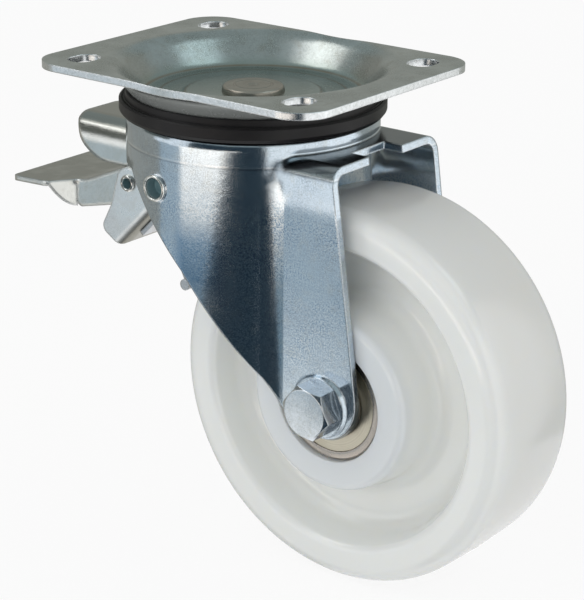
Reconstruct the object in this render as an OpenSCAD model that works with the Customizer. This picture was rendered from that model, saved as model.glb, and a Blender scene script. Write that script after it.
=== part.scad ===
// Swivel castor on a bolt-on top plate: pressed zinc-plated steel, a solid
// polyamide wheel on two ball bearings, and a foot lever that brakes the wheel
// and the swivel head together. The origin is on the swivel axis, level with
// the top of the plate. +Z is up, the axle lies along Y, the wheel trails at +X.

/* [Top plate] */
// Length of the plate along X
plate_l = 136; // [132:1:160]
// Width of the plate along Y
plate_w = 109; // [106:1:130]
// Thickness of the plate's sheet
plate_t = 2.8; // [2.5:0.1:3.5]
// Radius of the plate's corners
plate_corner_r = 14; // [8:1:18]
// Width of a bolt slot
slot_w = 11; // [9:0.5:12]
// Length of a bolt slot from end to end, along Y
slot_l = 14; // [12.5:0.5:16]
// Distance between the slots along X
slot_pitch_x = 105; // [102:0.5:108]
// Distance between the slots along Y
slot_pitch_y = 77.5; // [75:0.5:80]

/* [Plate dish] */
// Radius at which the flat of the plate turns down into the dish
dish_rim_r = 53; // [52:0.5:55]
// Radius of the dish's floor
dish_floor_r = 43; // [41:0.5:44]
// Depth of the dish's floor under the plate's top
dish_depth = 12.5; // [11:0.5:14]
// Height of the raised middle of the dish's floor
dish_step = 0.8; // [0.4:0.1:1.2]
// Radius of the bend at the dish's rim
dish_rim_bend = 9; // [7:0.5:12]
// Radius of the bend at the dish's floor
dish_floor_bend = 5; // [3:0.5:6]

/* [Swivel head] */
// Diameter of the balls in both rows
head_ball_d = 6.35; // [5.5:0.05:7]
// Running gap at each side of a ball
ball_gap = 0.3; // [0.2:0.05:0.4]
// Radius of the upper row of balls
upper_row_r = 34.2; // [33.5:0.1:35]
// Radius of the lower row of balls
lower_row_r = 20.5; // [19:0.1:21.5]
// Balls in the upper row
upper_ball_n = 28; // [16:1:30]
// Balls in the lower row
lower_ball_n = 16; // [10:1:17]
// Diameter of the king pin's shank
king_pin_d = 16; // [14:0.5:18]
// Radius of the riveted head of the king pin
king_head_r = 12.3; // [11:0.1:14]
// Height of the riveted head over the dish's floor
king_head_h = 2.4; // [2:0.1:4]
// Radius of the king pin's lower flange
king_flange_r = 12; // [11:0.5:14]
// Thickness of the lower flange, and of the lock ring round it
king_flange_t = 3; // [2.5:0.1:3.5]
// Thickness of the lower race
lower_race_t = 3; // [2.5:0.1:3.5]
// Radius of the lower race
lower_race_r = 26; // [25:0.5:27]
// Outer radius of the lock ring's teeth
lock_ring_r = 29; // [28:0.5:30]
// Teeth on the lock ring
lock_teeth = 24; // [12:1:30]

/* [Dust seal] */
// Thickness of the seal's outer band round the cup
seal_band_t = 2; // [1.6:0.1:3]
// Height of the seal's outer band
seal_h = 6.2; // [5.5:0.1:7]
// Height of the seal's collar over its outer band
seal_collar_h = 2.6; // [2:0.1:3.5]
// Gap between the seal and the turning cup
seal_gap = 0.5; // [0.3:0.1:0.8]

/* [Fork] */
// Outer radius of the drawn cup on top of the fork
cup_r = 49.5; // [48.5:0.5:50]
// Thickness of the fork's sheet
fork_t = 3; // [2.6:0.1:3.4]
// Height of the cup over the shoulder
cup_h = 7; // [6:0.5:8]
// Depth of the ball groove in the cup's top
groove_depth = 4.5; // [4:0.1:5]
// Gap between the inner faces of the legs
leg_gap = 61; // [60:0.5:66]
// Outer radius of the bend from the shoulder into a leg
shoulder_bend = 7; // [5:0.5:11]
// Radius of the valley between the fork's round front and a leg
crease_r = 16; // [8:1:20]
// Distance of the shoulder's rear edge from the swivel axis
shoulder_reach = 63.3; // [61:0.1:68]
// Half width of the notch in the shoulder's rear edge
rear_notch_w = 10.5; // [8:0.5:14]
// Depth of the notch in the shoulder's rear edge
rear_notch_d = 8.2; // [6:0.1:10]
// Depth of the front skirt's lower edge under the plate
skirt_z = 38.4; // [36:0.2:41]
// Radius of the leg's rounded end
leg_end_r = 16; // [14:0.5:18]
// Height of the pressed seat round the axle on the leg's outside
axle_seat_h = 1.6; // [1.2:0.1:3]

/* [Wheel and axle] */
// Distance of the axle behind the swivel axis
axle_x = 59.4; // [56:0.1:64]
// Depth of the axle under the plate's top
axle_z = 117.6; // [116:0.1:124]
// Diameter of the wheel
wheel_d = 151; // [140:1:155]
// Width of the tread
wheel_w = 50; // [46:0.5:54]
// Length of the hub
hub_l = 59; // [56:0.5:59.5]
// Radius of the hub at its end
hub_r = 35; // [32:0.5:37]
// Thickness of the web between the hub and the rim
web_t = 18; // [14:0.5:22]
// Radius inside the rim
rim_inner_r = 60; // [56:0.5:62]
// Height of the tread's crown
crown_h = 0.6; // [0.3:0.1:1]
// Diameter of the axle bolt
axle_bolt_d = 12; // [10:0.5:13]
// Width across the flats of the bolt head and the nut
hex_af = 19; // [18:0.5:20]
// Height of the bolt head
bolt_head_h = 8.4; // [6:0.1:9]
// Height of the nut
nut_h = 10; // [8:0.1:12]
// Outer diameter of the sleeve over the bolt, and the bearings' bore
axle_sleeve_d = 20; // [18:0.5:21]

/* [Wheel bearings] */
// Outer diameter of a bearing
bearing_od = 47; // [46:0.5:50]
// Width of a bearing
bearing_w = 14; // [12:0.5:15]
// Distance of a bearing's face inside the hub's end
bearing_inset = 2; // [1.5:0.1:3]
// Diameter of a bearing ball
bearing_ball_d = 7.4; // [6.5:0.1:7.8]
// Balls in a bearing
bearing_ball_n = 8; // [6:1:9]
// Outer radius of the inner ring
inner_ring_r = 13.6; // [13:0.1:14]
// Inner radius of the outer ring
outer_ring_r = 19.9; // [19.5:0.1:20.5]

/* [Brake lever] */
// Distance of the lever's pivot in front of the swivel axis
pivot_x = 7.5; // [5:0.5:10]
// Depth of the lever's pivot under the king pin's foot
pivot_drop = 5.9; // [5.5:0.1:8]
// Radius of the pivot pin
pivot_r = 4.25; // [3.5:0.05:4.5]
// Outer width of the lever over its arms
lever_w = 40; // [38:0.5:42]
// Thickness of the lever's sheet
lever_t = 2; // [1.8:0.1:3]
// Width of the tread at its wings
tread_w = 60; // [50:1:64]
// Distance of the tread's front edge from the pivot
tread_reach = 96; // [88:0.5:100]
// Height of the release hood's top over the pivot
hood_rise = 10.3; // [9.5:0.1:11]
// Distance of the hood's nose from the pivot
hood_reach = 73; // [68:0.5:76]
// Turn of the lever from released to locked
lever_turn = 16; // [12:1:18]

/* [Brake shoe] */
// Distance of the link rivet in front of the lever's pivot
link_x = 37.9; // [35:0.1:40]
// Depth of the link rivet under the lever's pivot
link_z = 11.4; // [10:0.1:13]
// Radius of the link rivet
link_rivet_r = 2.5; // [2:0.1:3]
// Gap between the lever and the bracket's side plates
link_gap = 0.3; // [0.2:0.05:0.5]
// Thickness of the bracket's sheet
bracket_t = 2.5; // [2:0.1:3]
// Thickness of the brake leaf
leaf_t = 2; // [1.5:0.1:2.5]
// Gap between the leaf's tip and the tread with the brake off
leaf_gap = 4.1; // [3.8:0.1:5]
// Radius of the rolled eye at the leaf's tip
leaf_eye_r = 2.3; // [1.8:0.1:2.6]
// Radius of a rivet between the leaf and the bracket
leaf_rivet_r = 2; // [1.5:0.1:2.5]
// Radius of that rivet's head
leaf_rivet_head_r = 3.6; // [3:0.1:4.2]
// Height of that rivet's head
leaf_rivet_head_h = 1.4; // [1:0.1:1.8]

/* [Hidden] */
$fn = 96;
fit = 0.05;
touch = 0.02;
bend_steps = 8;

// Heights of the swivel head, measured down from the plate's top
dish_under = dish_depth + plate_t;
floor_in_z = dish_depth - dish_step;
race_drop = head_ball_d + 2 * ball_gap;
groove_z = dish_under + race_drop;
cup_top = groove_z - groove_depth;
seat_rise = 3;
seat_z = groove_z - seat_rise;
shoulder_z = cup_top + cup_h;
lower_race_z = seat_z + fork_t + race_drop;
lower_race_under = lower_race_z + lower_race_t;
king_foot_z = lower_race_under + king_flange_t;
pivot_z = king_foot_z + pivot_drop;

// Widths of the fork and of what lies between its legs
leg_in = leg_gap / 2;
leg_out = leg_in + fork_t;
axle_seat_y = leg_out + axle_seat_h;
cup_in = cup_r - fork_t;
seal_r = cup_r + seal_gap + seal_band_t;
fork_foot_z = axle_z + leg_end_r - 3;
arm_out = lever_w / 2;
arm_in = arm_out - lever_t;
bracket_in = arm_out + link_gap;
bracket_out = bracket_in + bracket_t;

// Places in side view, as X and Z
axle_at = [axle_x, -axle_z];
pivot_at = [-pivot_x, -pivot_z];
link_at = pivot_at + [-link_x, -link_z];
lever_boss_r = pivot_r + 1.15;

// The lever in side view, measured from its pivot
tread_rear_x = 32.5;
tread_rear_z = 2.1;
tread_bend_x = 64.5;
tread_bend_z = 15.9;
tread_front_z = 17.2;
tread_bend_r = 25;
wing_root_x = 68.5;
wing_tip_x = 76.5;
wing_corner_r = 4;
tread_corner_r = 3;
wing_web_h = 10.5;
flange_mid_x = 32;
flange_mid_z = 18;
flange_low_x = 50.5;
flange_low_z = 23.6;
pawl_reach = 31.5;
pawl_l = 6;
pawl_h = 4.2;
hood_rear_x = 28.5;
hood_nose_r = 20.5;
hood_nose_lift = 3.5;
hood_round_r = 10;
hood_corner_r = 7;

// The bracket in side view, measured from the link rivet
bracket_boss_r = link_rivet_r + 3.7;
bracket_back_x = 5.9;
bracket_back_z = 1.7;
bracket_waist_x = 9.4;
bracket_waist_z = 10.3;
bracket_toe_x = 15.2;
bracket_toe_z = 21.4;
bracket_heel_x = 5.6;
bracket_heel_z = 27.4;
bracket_toe_r = 3.5;
bracket_heel_r = 3;
web_low_x = 2.1;
web_low_z = 25.5;
web_high_x = 13.4;
web_high_z = 10;
leaf_end_in = 7;
leaf_rivet_in = 12;

// Bearing stations along the axle
bearing_out_y = hub_l / 2 - bearing_inset;
bearing_in_y = bearing_out_y - bearing_w;
bearing_mid_y = (bearing_out_y + bearing_in_y) / 2;
bearing_pitch_r = (inner_ring_r + outer_ring_r) / 2;
bearing_groove_r = bearing_ball_d / 2 + ball_gap;

// Plane geometry
function unit(v) = v / norm(v);
function left_of(v) = [-v[1], v[0]];
function turned(v, a) = [v[0] * cos(a) - v[1] * sin(a), v[0] * sin(a) + v[1] * cos(a)];
function arc(c, r, a0, a1, n = bend_steps) =
  [for (i = [0:n]) c + r * [cos(a0 + (a1 - a0) * i / n), sin(a0 + (a1 - a0) * i / n)]];
function bend_angle(a, b, c) =
  let (u = unit(b - a), w = unit(c - b)) atan2(u[0] * w[1] - u[1] * w[0], u * w);
function bend_reach(a, b, c, r) = r * tan(abs(bend_angle(a, b, c)) / 2);

// A closed outline with the corners of p rounded to the radii r
function rounded(p, r, n = bend_steps) = [
  for (i = [0:len(p) - 1])
    let (
      a = p[(i + len(p) - 1) % len(p)],
      b = p[i],
      c = p[(i + 1) % len(p)],
      turn = bend_angle(a, b, c),
      start = b - bend_reach(a, b, c, r[i]) * unit(b - a),
      centre = start + sign(turn) * r[i] * left_of(unit(b - a)),
      from = start - centre
    )
    each (r[i] > 0 ? [for (k = [0:n]) centre + turned(from, turn * k / n)] : [b])
];

// Both faces of a sheet along the corners p, with a chord at each bend: one face out, the other back
function chord_outline(p, bends, t) =
  let (
    last = len(p) - 1,
    points = [
      for (i = [0:last])
        each (
          i == 0 ? [[p[0], unit(p[1] - p[0])]]
          : i == last ? [[p[last], unit(p[last] - p[last - 1])]]
          : let (
            u = unit(p[i] - p[i - 1]),
            w = unit(p[i + 1] - p[i]),
            reach = bend_reach(p[i - 1], p[i], p[i + 1], bends[i - 1])
          ) [[p[i] - reach * u, u], [p[i] + reach * w, w]]
        )
    ]
  )
  concat(
    [for (q = points) q[0]],
    [for (k = [len(points) - 1:-1:0]) points[k][0] + t * left_of(points[k][1])]
  );

// The round of a sheet's bend at the corner b, outside its chord or inside it
module bend_round(a, b, c, r, t, outside) {
  turn = bend_angle(a, b, c);
  side = sign(turn);
  u = unit(b - a);
  w = unit(c - b);
  centre = b - bend_reach(a, b, c, r) * u + side * r * left_of(u);
  out = unit(b - centre);
  r_out = side > 0 ? r : r + t;
  r_in = side > 0 ? r - t : r;
  round_r = outside ? r_out : r_in;
  half_turn = abs(turn) / 2;
  root = outside ? centre + (r_in + 0.2 * t) * cos(half_turn) * out : centre;
  intersection() {
    translate(centre) circle(round_r);
    polygon([
      root,
      centre - side * round_r * left_of(u),
      centre + round_r / cos(half_turn) * out,
      centre - side * round_r * left_of(w)
    ]);
  }
}

// The section of a pressed sheet whose face follows the corners p, with its metal on the left,
// and one bend radius for each inner corner
module pressed_section(p, bends, t) {
  difference() {
    union() {
      polygon(chord_outline(p, bends, t));
      for (i = [1:len(p) - 2])
        bend_round(p[i - 1], p[i], p[i + 1], bends[i - 1], t, true);
    }
    for (i = [1:len(p) - 2])
      bend_round(p[i - 1], p[i], p[i + 1], bends[i - 1], t, false);
  }
}

module rounded_rectangle(l, w, r) {
  square([l - 2 * r, w], center = true);
  square([l, w - 2 * r], center = true);
  for (x = [-1, 1], y = [-1, 1])
    translate([x * (l / 2 - r), y * (w / 2 - r)]) circle(r);
}

// A side view swept across the part, from y0 to y1
module across(y0, y1) {
  translate([0, y1, 0]) rotate([90, 0, 0]) linear_extrude(y1 - y0) children();
}

// A section in Y and Z swept along X, from x0 to x1
module along(x0, x1) {
  translate([x0, 0, 0]) rotate([90, 0, 90]) linear_extrude(x1 - x0) children();
}

// A round body on the axle's line, from its section in radius and Y
module round_axle() {
  translate([axle_x, 0, -axle_z]) rotate([90, 0, 0]) rotate_extrude() children();
}

module tube_section(r_in, r_out, y0, y1) {
  translate([r_in, y0]) square([r_out - r_in, y1 - y0]);
}

module ball_row(r, z, d, n) {
  for (i = [0:n - 1])
    rotate([0, 0, i * 360 / n]) translate([r, 0, z]) sphere(d = d);
}

// Swivel head

module slot_shape() {
  run = slot_l - slot_w;
  square([slot_w, run], center = true);
  for (y = [-1, 1])
    translate([0, y * run / 2]) circle(d = slot_w);
}

module top_plate() {
  step_r = lower_race_r + 2;
  step_run = 1.8 * dish_step;
  color("silver") difference() {
    intersection() {
      rotate_extrude()
        pressed_section(
          [
            [norm([plate_l, plate_w]) / 2 + 1, 0],
            [dish_rim_r, 0],
            [dish_floor_r, -dish_depth],
            [step_r, -dish_depth],
            [step_r - step_run, -floor_in_z],
            [king_pin_d / 2 + touch, -floor_in_z]
          ],
          [dish_rim_bend, dish_floor_bend, 0.5, plate_t + 0.5], plate_t
        );
      translate([0, 0, -dish_under - 1]) linear_extrude(dish_under + 2)
        rounded_rectangle(plate_l, plate_w, plate_corner_r);
    }
    for (x = [-1, 1], y = [-1, 1])
      translate([x * slot_pitch_x / 2, y * slot_pitch_y / 2, -plate_t - dish_depth])
        linear_extrude(dish_depth + 2 * plate_t) slot_shape();
  }
}

module king_pin() {
  head_z = -floor_in_z + king_head_h;
  color("dimgray") rotate_extrude() polygon(rounded(
    [
      [0, head_z - 0.6],
      [1.2, head_z - 0.6],
      [2.4, head_z],
      [king_head_r, head_z],
      [king_head_r, -floor_in_z],
      [king_pin_d / 2, -floor_in_z],
      [king_pin_d / 2, -lower_race_under],
      [king_flange_r, -lower_race_under],
      [king_flange_r, -king_foot_z],
      [0, -king_foot_z]
    ],
    [0, 0, 0, 1.6, 0, 0, 0, 0, 0.8, 0]
  ));
}

module lower_race() {
  lip_h = 2;
  color("gray") rotate_extrude() polygon(rounded(
    [
      [king_pin_d / 2 + touch, -lower_race_under],
      [lower_race_r, -lower_race_under],
      [lower_race_r, -lower_race_z + lip_h],
      [lower_race_r - 2, -lower_race_z + lip_h],
      [lower_race_r - 2, -lower_race_z],
      [king_pin_d / 2 + touch, -lower_race_z]
    ],
    [0, 1, 0.5, 0.5, 1, 0]
  ));
}

module lock_ring() {
  notch_d = 5;
  notch_w = PI * lock_ring_r / lock_teeth;
  color("gray") difference() {
    translate([0, 0, -king_foot_z]) cylinder(r = lock_ring_r, h = king_flange_t);
    translate([0, 0, -king_foot_z - 1]) cylinder(r = king_flange_r + touch, h = king_flange_t + 2);
    for (i = [0:lock_teeth - 1])
      rotate([0, 0, (i + 0.5) * 360 / lock_teeth])
        translate([lock_ring_r - notch_d, -notch_w / 2, -king_foot_z - 1])
          cube([2 * notch_d, notch_w, king_flange_t + 2]);
  }
}

module upper_balls() {
  color("silver") ball_row(upper_row_r, -(dish_under + groove_z) / 2, head_ball_d, upper_ball_n);
}

module lower_balls() {
  color("silver")
    ball_row(lower_row_r, -(seat_z + fork_t + lower_race_z) / 2, head_ball_d, lower_ball_n);
}

module dust_seal() {
  slope = unit([dish_floor_r - dish_rim_r, -dish_depth]);
  wall_at = [dish_floor_r, -dish_depth] + (plate_t + touch) * left_of(slope);
  // The dish's outer wall, at a depth under the plate
  function wall_r(z) = wall_at[0] + (wall_at[1] + z) * slope[0] / -slope[1];
  foot = cup_top + 1.5;
  band = foot - seal_h;
  head = band - seal_collar_h;
  ledge = cup_top - seal_gap;
  lip_r = cup_r + seal_gap;
  color([0.08, 0.07, 0.07]) rotate_extrude() polygon(rounded(
    [
      [wall_r(head + 0.3) + touch, -head - 0.3],
      [wall_r(dish_under - 1.2), -dish_under + 1.2],
      [wall_r(dish_under - 1.2), -ledge],
      [lip_r, -ledge],
      [lip_r, -foot],
      [seal_r - 1.2, -foot],
      [seal_r, -foot + 1.6],
      [seal_r, -band - 0.8],
      [seal_r - 0.9, -band],
      [seal_r - 2.2, -band - 0.9],
      [wall_r(head) + 1.2, -head]
    ],
    [0, 0, 0, 0, 0, 0.5, 0.8, 0.4, 0.4, 0.5, 0.5]
  ));
}

// Fork

module cup_shell() {
  wall = (groove_z - cup_top) * 0.78;
  rotate_extrude() pressed_section(
    [
      [cup_r, -fork_foot_z - 1],
      [cup_r, -cup_top],
      [upper_row_r + wall + 4.7, -cup_top],
      [upper_row_r + 4.7, -groove_z],
      [upper_row_r - 4.7, -groove_z],
      [upper_row_r - 4.7 - seat_rise, -seat_z],
      [king_flange_r + 1.5, -seat_z]
    ],
    [fork_t + 2, fork_t + 0.6, 1.5, 1.5, fork_t + 0.6], fork_t
  );
}

module yoke_section() {
  pressed_section(
    [
      [leg_out, -fork_foot_z - 1],
      [leg_out, -shoulder_z],
      [-leg_out, -shoulder_z],
      [-leg_out, -fork_foot_z - 1]
    ],
    [shoulder_bend, shoulder_bend], fork_t
  );
}

// The fork seen from the side: the front skirt, the slanted front edge and the rounded leg end
module fork_outline() {
  front = -cup_r - 1;
  chin_r = 9;
  chin_at = axle_at + [-8, chin_r - leg_end_r + 3];
  end_at = axle_at + [0, 3];
  polygon(concat(
    [
      [front, 0],
      [front, -skirt_z],
      [-0.52 * cup_r, -skirt_z],
      (axle_at + [-54, 45.5])
    ],
    arc(chin_at, chin_r, 205, 270),
    arc(end_at, leg_end_r, 270, 368),
    [
      [shoulder_reach, -shoulder_z],
      [shoulder_reach, 0]
    ]
  ));
}

// Softens the valley between the round front and each leg, and fades out under the shoulder's bend
module crease_fill() {
  sink = 0.05;
  fade = 9;
  out = cup_r + crease_r - sink;
  side = leg_out + crease_r - sink;
  centre = [sqrt(out * out - side * side), side];
  crease = [sqrt(cup_r * cup_r - leg_out * leg_out), leg_out];
  bend_at = [leg_out - shoulder_bend, -shoulder_z - shoulder_bend];
  for (mirrored = [0, 1])
    mirror([0, mirrored, 0]) intersection() {
      translate([0, 0, -fork_foot_z - 1]) linear_extrude(fork_foot_z + 1 - shoulder_z) difference() {
        polygon([
          (cup_r - 1) * unit(centre),
          crease * (1 - 1.5 / cup_r),
          [centre[0], leg_out - 1],
          centre
        ]);
        translate(centre) circle(r = crease_r);
      }
      along(0, 2 * cup_r) union() {
        translate(bend_at) circle(r = shoulder_bend - sink);
        polygon([
          [0, -fork_foot_z - 2],
          [leg_out + 6, -fork_foot_z - 2],
          [leg_out + 6, bend_at[1] - fade],
          [leg_out - sink, bend_at[1]],
          bend_at,
          [0, bend_at[1]]
        ]);
      }
    }
}

module pivot_seats() {
  for (side = [-1, 1])
    translate([pivot_at[0], side * (cup_r + 0.1), pivot_at[1]]) rotate([side * 90, 0, 0])
      cylinder(r = pivot_r + 1.3, h = fork_t + 1.4);
}

module axle_seats() {
  for (side = [-1, 1])
    translate([axle_x, side * (leg_out - touch), -axle_z]) rotate([-side * 90, 0, 0])
      cylinder(r1 = leg_end_r - 3.4, r2 = leg_end_r - 4.2, h = axle_seat_h + touch);
}

module fork() {
  tall = fork_foot_z + 2;
  notch_half = arm_in + 1;
  color("lightsteelblue") difference() {
    union() {
      intersection() {
        union() {
          difference() {
            cup_shell();
            translate([0, -leg_in, -tall]) cube([2 * cup_r, leg_gap, tall - shoulder_z - fork_t]);
          }
          difference() {
            along(0, 2 * axle_x) yoke_section();
            translate([0, 0, -tall]) cylinder(r = cup_in, h = tall);
          }
          crease_fill();
        }
        across(-cup_r - 2, cup_r + 2) fork_outline();
      }
      pivot_seats();
      axle_seats();
    }
    translate([shoulder_reach - rear_notch_d, -rear_notch_w, -shoulder_z - fork_t - 1])
      cube([rear_notch_d + 1, 2 * rear_notch_w, fork_t + 2]);
    translate([-cup_r - 1, -notch_half, -skirt_z - 1])
      cube([cup_r / 2, 2 * notch_half, skirt_z + 1 - (pivot_z - hood_rise - 1.5)]);
    translate([axle_x, 0, -axle_z]) rotate([90, 0, 0])
      cylinder(d = axle_bolt_d + 2 * fit, h = 4 * leg_out, center = true);
    translate([pivot_at[0], 0, pivot_at[1]]) rotate([90, 0, 0])
      cylinder(r = pivot_r + touch, h = 4 * cup_r, center = true);
  }
}

module lever_pivot() {
  half = cup_r + 0.1 + touch;
  flange_t = 1.2;
  wall = 0.8;
  hole_h = 4;
  end = half + flange_t;
  color("silver") translate([pivot_at[0], 0, pivot_at[1]]) rotate([90, 0, 0]) rotate_extrude() difference() {
    union() {
      translate([0, -end]) square([pivot_r, 2 * end]);
      for (side = [-1, 1])
        translate([pivot_r / 2, side * (half + flange_t / 2) - flange_t / 2])
          square([pivot_r / 2 + 1.1, flange_t]);
    }
    for (y = [end - hole_h, -end - 1])
      translate([-1, y]) square([pivot_r - wall + 1, hole_h + 1]);
  }
}

// Axle and bearings

module hexagon_prism(af, h) {
  cylinder(d = af / cos(30), h = h, $fn = 6);
}

module axle_bolt() {
  chamfer = 1.2;
  hex_turn = 50;
  thread_end = axle_seat_y + 2.5 + nut_h + 3;
  color("gainsboro") translate([axle_x, 0, -axle_z]) {
    translate([0, -axle_seat_y - touch, 0]) rotate([90, 0, 0]) intersection() {
      rotate([0, 0, hex_turn]) hexagon_prism(hex_af, bolt_head_h);
      cylinder(r1 = hex_af / 2 + bolt_head_h * 1.73 - 0.2, r2 = hex_af / 2 - 0.2, h = bolt_head_h);
    }
    translate([0, thread_end - chamfer, 0]) rotate([90, 0, 0])
      cylinder(d = axle_bolt_d, h = thread_end - chamfer + axle_seat_y + 1);
    translate([0, thread_end, 0]) rotate([90, 0, 0])
      cylinder(d1 = axle_bolt_d - 2 * chamfer, d2 = axle_bolt_d, h = chamfer);
  }
}

module axle_nut() {
  color("gainsboro") translate([axle_x, axle_seat_y + 2.5 + nut_h + touch, -axle_z]) rotate([90, 0, 0])
    difference() {
      intersection() {
        hexagon_prism(hex_af, nut_h);
        cylinder(r1 = hex_af / 2 + 0.2, r2 = hex_af / 2 + 0.2 + nut_h * 1.6, h = nut_h);
      }
      translate([0, 0, -1]) cylinder(d = axle_bolt_d + 2 * touch, h = nut_h + 2);
    }
}

module nut_washer() {
  color("silver") translate([axle_x, axle_seat_y + 2.5, -axle_z]) rotate([90, 0, 0]) difference() {
    cylinder(d = 2 * axle_bolt_d, h = 2.5 - touch);
    translate([0, 0, -1]) cylinder(d = axle_bolt_d + 2 * fit, h = 5);
  }
}

module axle_sleeve() {
  color("silver") round_axle()
    tube_section(axle_bolt_d / 2 + fit, axle_sleeve_d / 2, -leg_in + touch, leg_in - touch);
}

module distance_tube() {
  color("gray") round_axle()
    tube_section(
      axle_sleeve_d / 2 + touch, axle_sleeve_d / 2 + 3, -bearing_in_y + touch, bearing_in_y - touch
    );
}

// A bearing piece's section is drawn for the far side, and mirrored for the near side
module bearing_side(side) {
  round_axle() scale([1, -side]) children();
}

module spacer(side) {
  color("dimgray") bearing_side(side)
    tube_section(axle_sleeve_d / 2 + touch, inner_ring_r + 0.8, bearing_out_y + touch, leg_in - touch);
}

module inner_ring(side) {
  color("gray") bearing_side(side) difference() {
    tube_section(axle_sleeve_d / 2 + touch, inner_ring_r, bearing_in_y, bearing_out_y);
    translate([bearing_pitch_r, bearing_mid_y]) circle(r = bearing_groove_r);
  }
}

module outer_ring(side) {
  color("rosybrown") bearing_side(side) difference() {
    tube_section(outer_ring_r, bearing_od / 2, bearing_in_y, bearing_out_y);
    translate([bearing_pitch_r, bearing_mid_y]) circle(r = bearing_groove_r);
  }
}

module bearing_balls(side) {
  color("silver") translate([axle_x, side * bearing_mid_y, -axle_z]) rotate([90, 0, 0])
    ball_row(bearing_pitch_r, 0, bearing_ball_d, bearing_ball_n);
}

module shields(side) {
  shield_t = 0.8;
  inset = 0.4;
  color("tan") bearing_side(side)
    for (y = [bearing_in_y + inset, bearing_out_y - inset - shield_t])
      tube_section(inner_ring_r + 0.5, outer_ring_r - touch, y, y + shield_t);
}

// The wheel's section, from the bore at one end of the hub round the tread to the other
module wheel_section() {
  half = wheel_w / 2;
  hub_half = hub_l / 2;
  web = web_t / 2;
  tread_r = wheel_d / 2;
  outside = [
    [bearing_od / 2, hub_half],
    [hub_r, hub_half],
    [hub_r + 3, web],
    [rim_inner_r - 4, web],
    [rim_inner_r, half],
    [tread_r - crown_h, half],
    [tread_r, 0]
  ];
  bends = [0, 3, 7, 8, 3.5, 7, 0];
  half_outline = [for (k = [0:len(outside) - 2]) outside[k]];
  polygon(rounded(
    concat(
      [[bearing_od / 2 - 4, bearing_in_y - touch], [bearing_od / 2, bearing_in_y - touch]],
      half_outline,
      [outside[len(outside) - 1]],
      [for (k = [len(half_outline) - 1:-1:0]) [half_outline[k][0], -half_outline[k][1]]],
      [[bearing_od / 2, touch - bearing_in_y], [bearing_od / 2 - 4, touch - bearing_in_y]]
    ),
    concat(
      [0, 0],
      [for (k = [0:len(half_outline) - 1]) bends[k]],
      [0],
      [for (k = [len(half_outline) - 1:-1:0]) bends[k]],
      [0, 0]
    )
  ));
}

module wheel() {
  color("ivory") round_axle() wheel_section();
}

// Brake lever

// The tread's top face in side view, from the arms to the front edge
function tread_line() = [
  pivot_at + [-tread_rear_x, -tread_rear_z],
  pivot_at + [-tread_bend_x, -tread_bend_z],
  pivot_at + [-tread_reach, -tread_front_z]
];

// A wing's rear edge in plan, from the neck of the tread out to the wing's corner
function wing_edge() = [
  [pivot_at[0] - wing_root_x, -arm_out],
  [pivot_at[0] - wing_tip_x, -tread_w / 2]
];

module tread_plan() {
  rear = pivot_at[0] - tread_rear_x;
  front = pivot_at[0] - tread_reach;
  wing = wing_edge();
  half = tread_w / 2;
  polygon(rounded(
    [
      [rear, -arm_out], wing[0], wing[1], [front, -half],
      [front, half], [wing[1][0], half], [wing[0][0], arm_out], [rear, arm_out]
    ],
    [
      0, wing_corner_r, wing_corner_r, tread_corner_r,
      tread_corner_r, wing_corner_r, wing_corner_r, 0
    ]
  ));
}

// An arm of the lever in side view: flange under the tread, boss at the pivot, tail behind it
module arm_outline() {
  line = tread_line();
  under = [0, -lever_t / 2];
  tail_top = [lever_boss_r * sin(lever_turn), lever_boss_r * cos(lever_turn)];
  tail_run = pawl_reach * [cos(lever_turn), -sin(lever_turn)];
  difference() {
    union() {
      translate(pivot_at) circle(r = lever_boss_r);
      polygon(concat(
        [
          pivot_at + tail_top,
          line[0] + under,
          line[1] + under,
          line[1] + [-5, -1.6]
        ],
        arc(line[1] + [-1.5, -7.5], 4, 190, 265, 4),
        [
          pivot_at + [-flange_low_x, -flange_low_z],
          pivot_at + [-flange_mid_x, -flange_mid_z],
          pivot_at + [-1, -lever_boss_r],
          pivot_at + tail_top + tail_run + [-1, -4.6],
          pivot_at + tail_top + tail_run
        ]
      ));
    }
    translate(pivot_at) circle(r = pivot_r + fit);
  }
}

// The web that joins a wing's rear edge to the flange, and dies out towards the wing's corner
module wing_web() {
  wing = wing_edge();
  way = wing[1] - wing[0];
  run = norm(way);
  steps = 8;
  translate([wing[0][0], wing[0][1], tread_line()[1][1] - lever_t / 2])
    rotate([90, 0, atan2(way[1], way[0])]) linear_extrude(lever_t)
      polygon(concat([[0, 0], [run, 0]], [for (k = [1:steps])
        [run * (1 - k / steps), -wing_web_h * (1 - pow(1 - k / steps, 2))]]));
}

module brake_pedal() {
  line = tread_line();
  color("gainsboro") difference() {
    union() {
      intersection() {
        across(-tread_w / 2 - 1, tread_w / 2 + 1) pressed_section(line, [tread_bend_r], lever_t);
        translate([0, 0, line[2][1] - tread_reach]) linear_extrude(2 * tread_reach) tread_plan();
      }
      for (side = [-1, 1])
        across(side > 0 ? arm_in : -arm_out, side > 0 ? arm_out : -arm_in) arm_outline();
      wing_web();
      mirror([0, 1, 0]) wing_web();
    }
    translate([link_at[0], 0, link_at[1]]) rotate([90, 0, 0])
      cylinder(r = link_rivet_r + touch, h = 2 * lever_w, center = true);
  }
}

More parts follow.
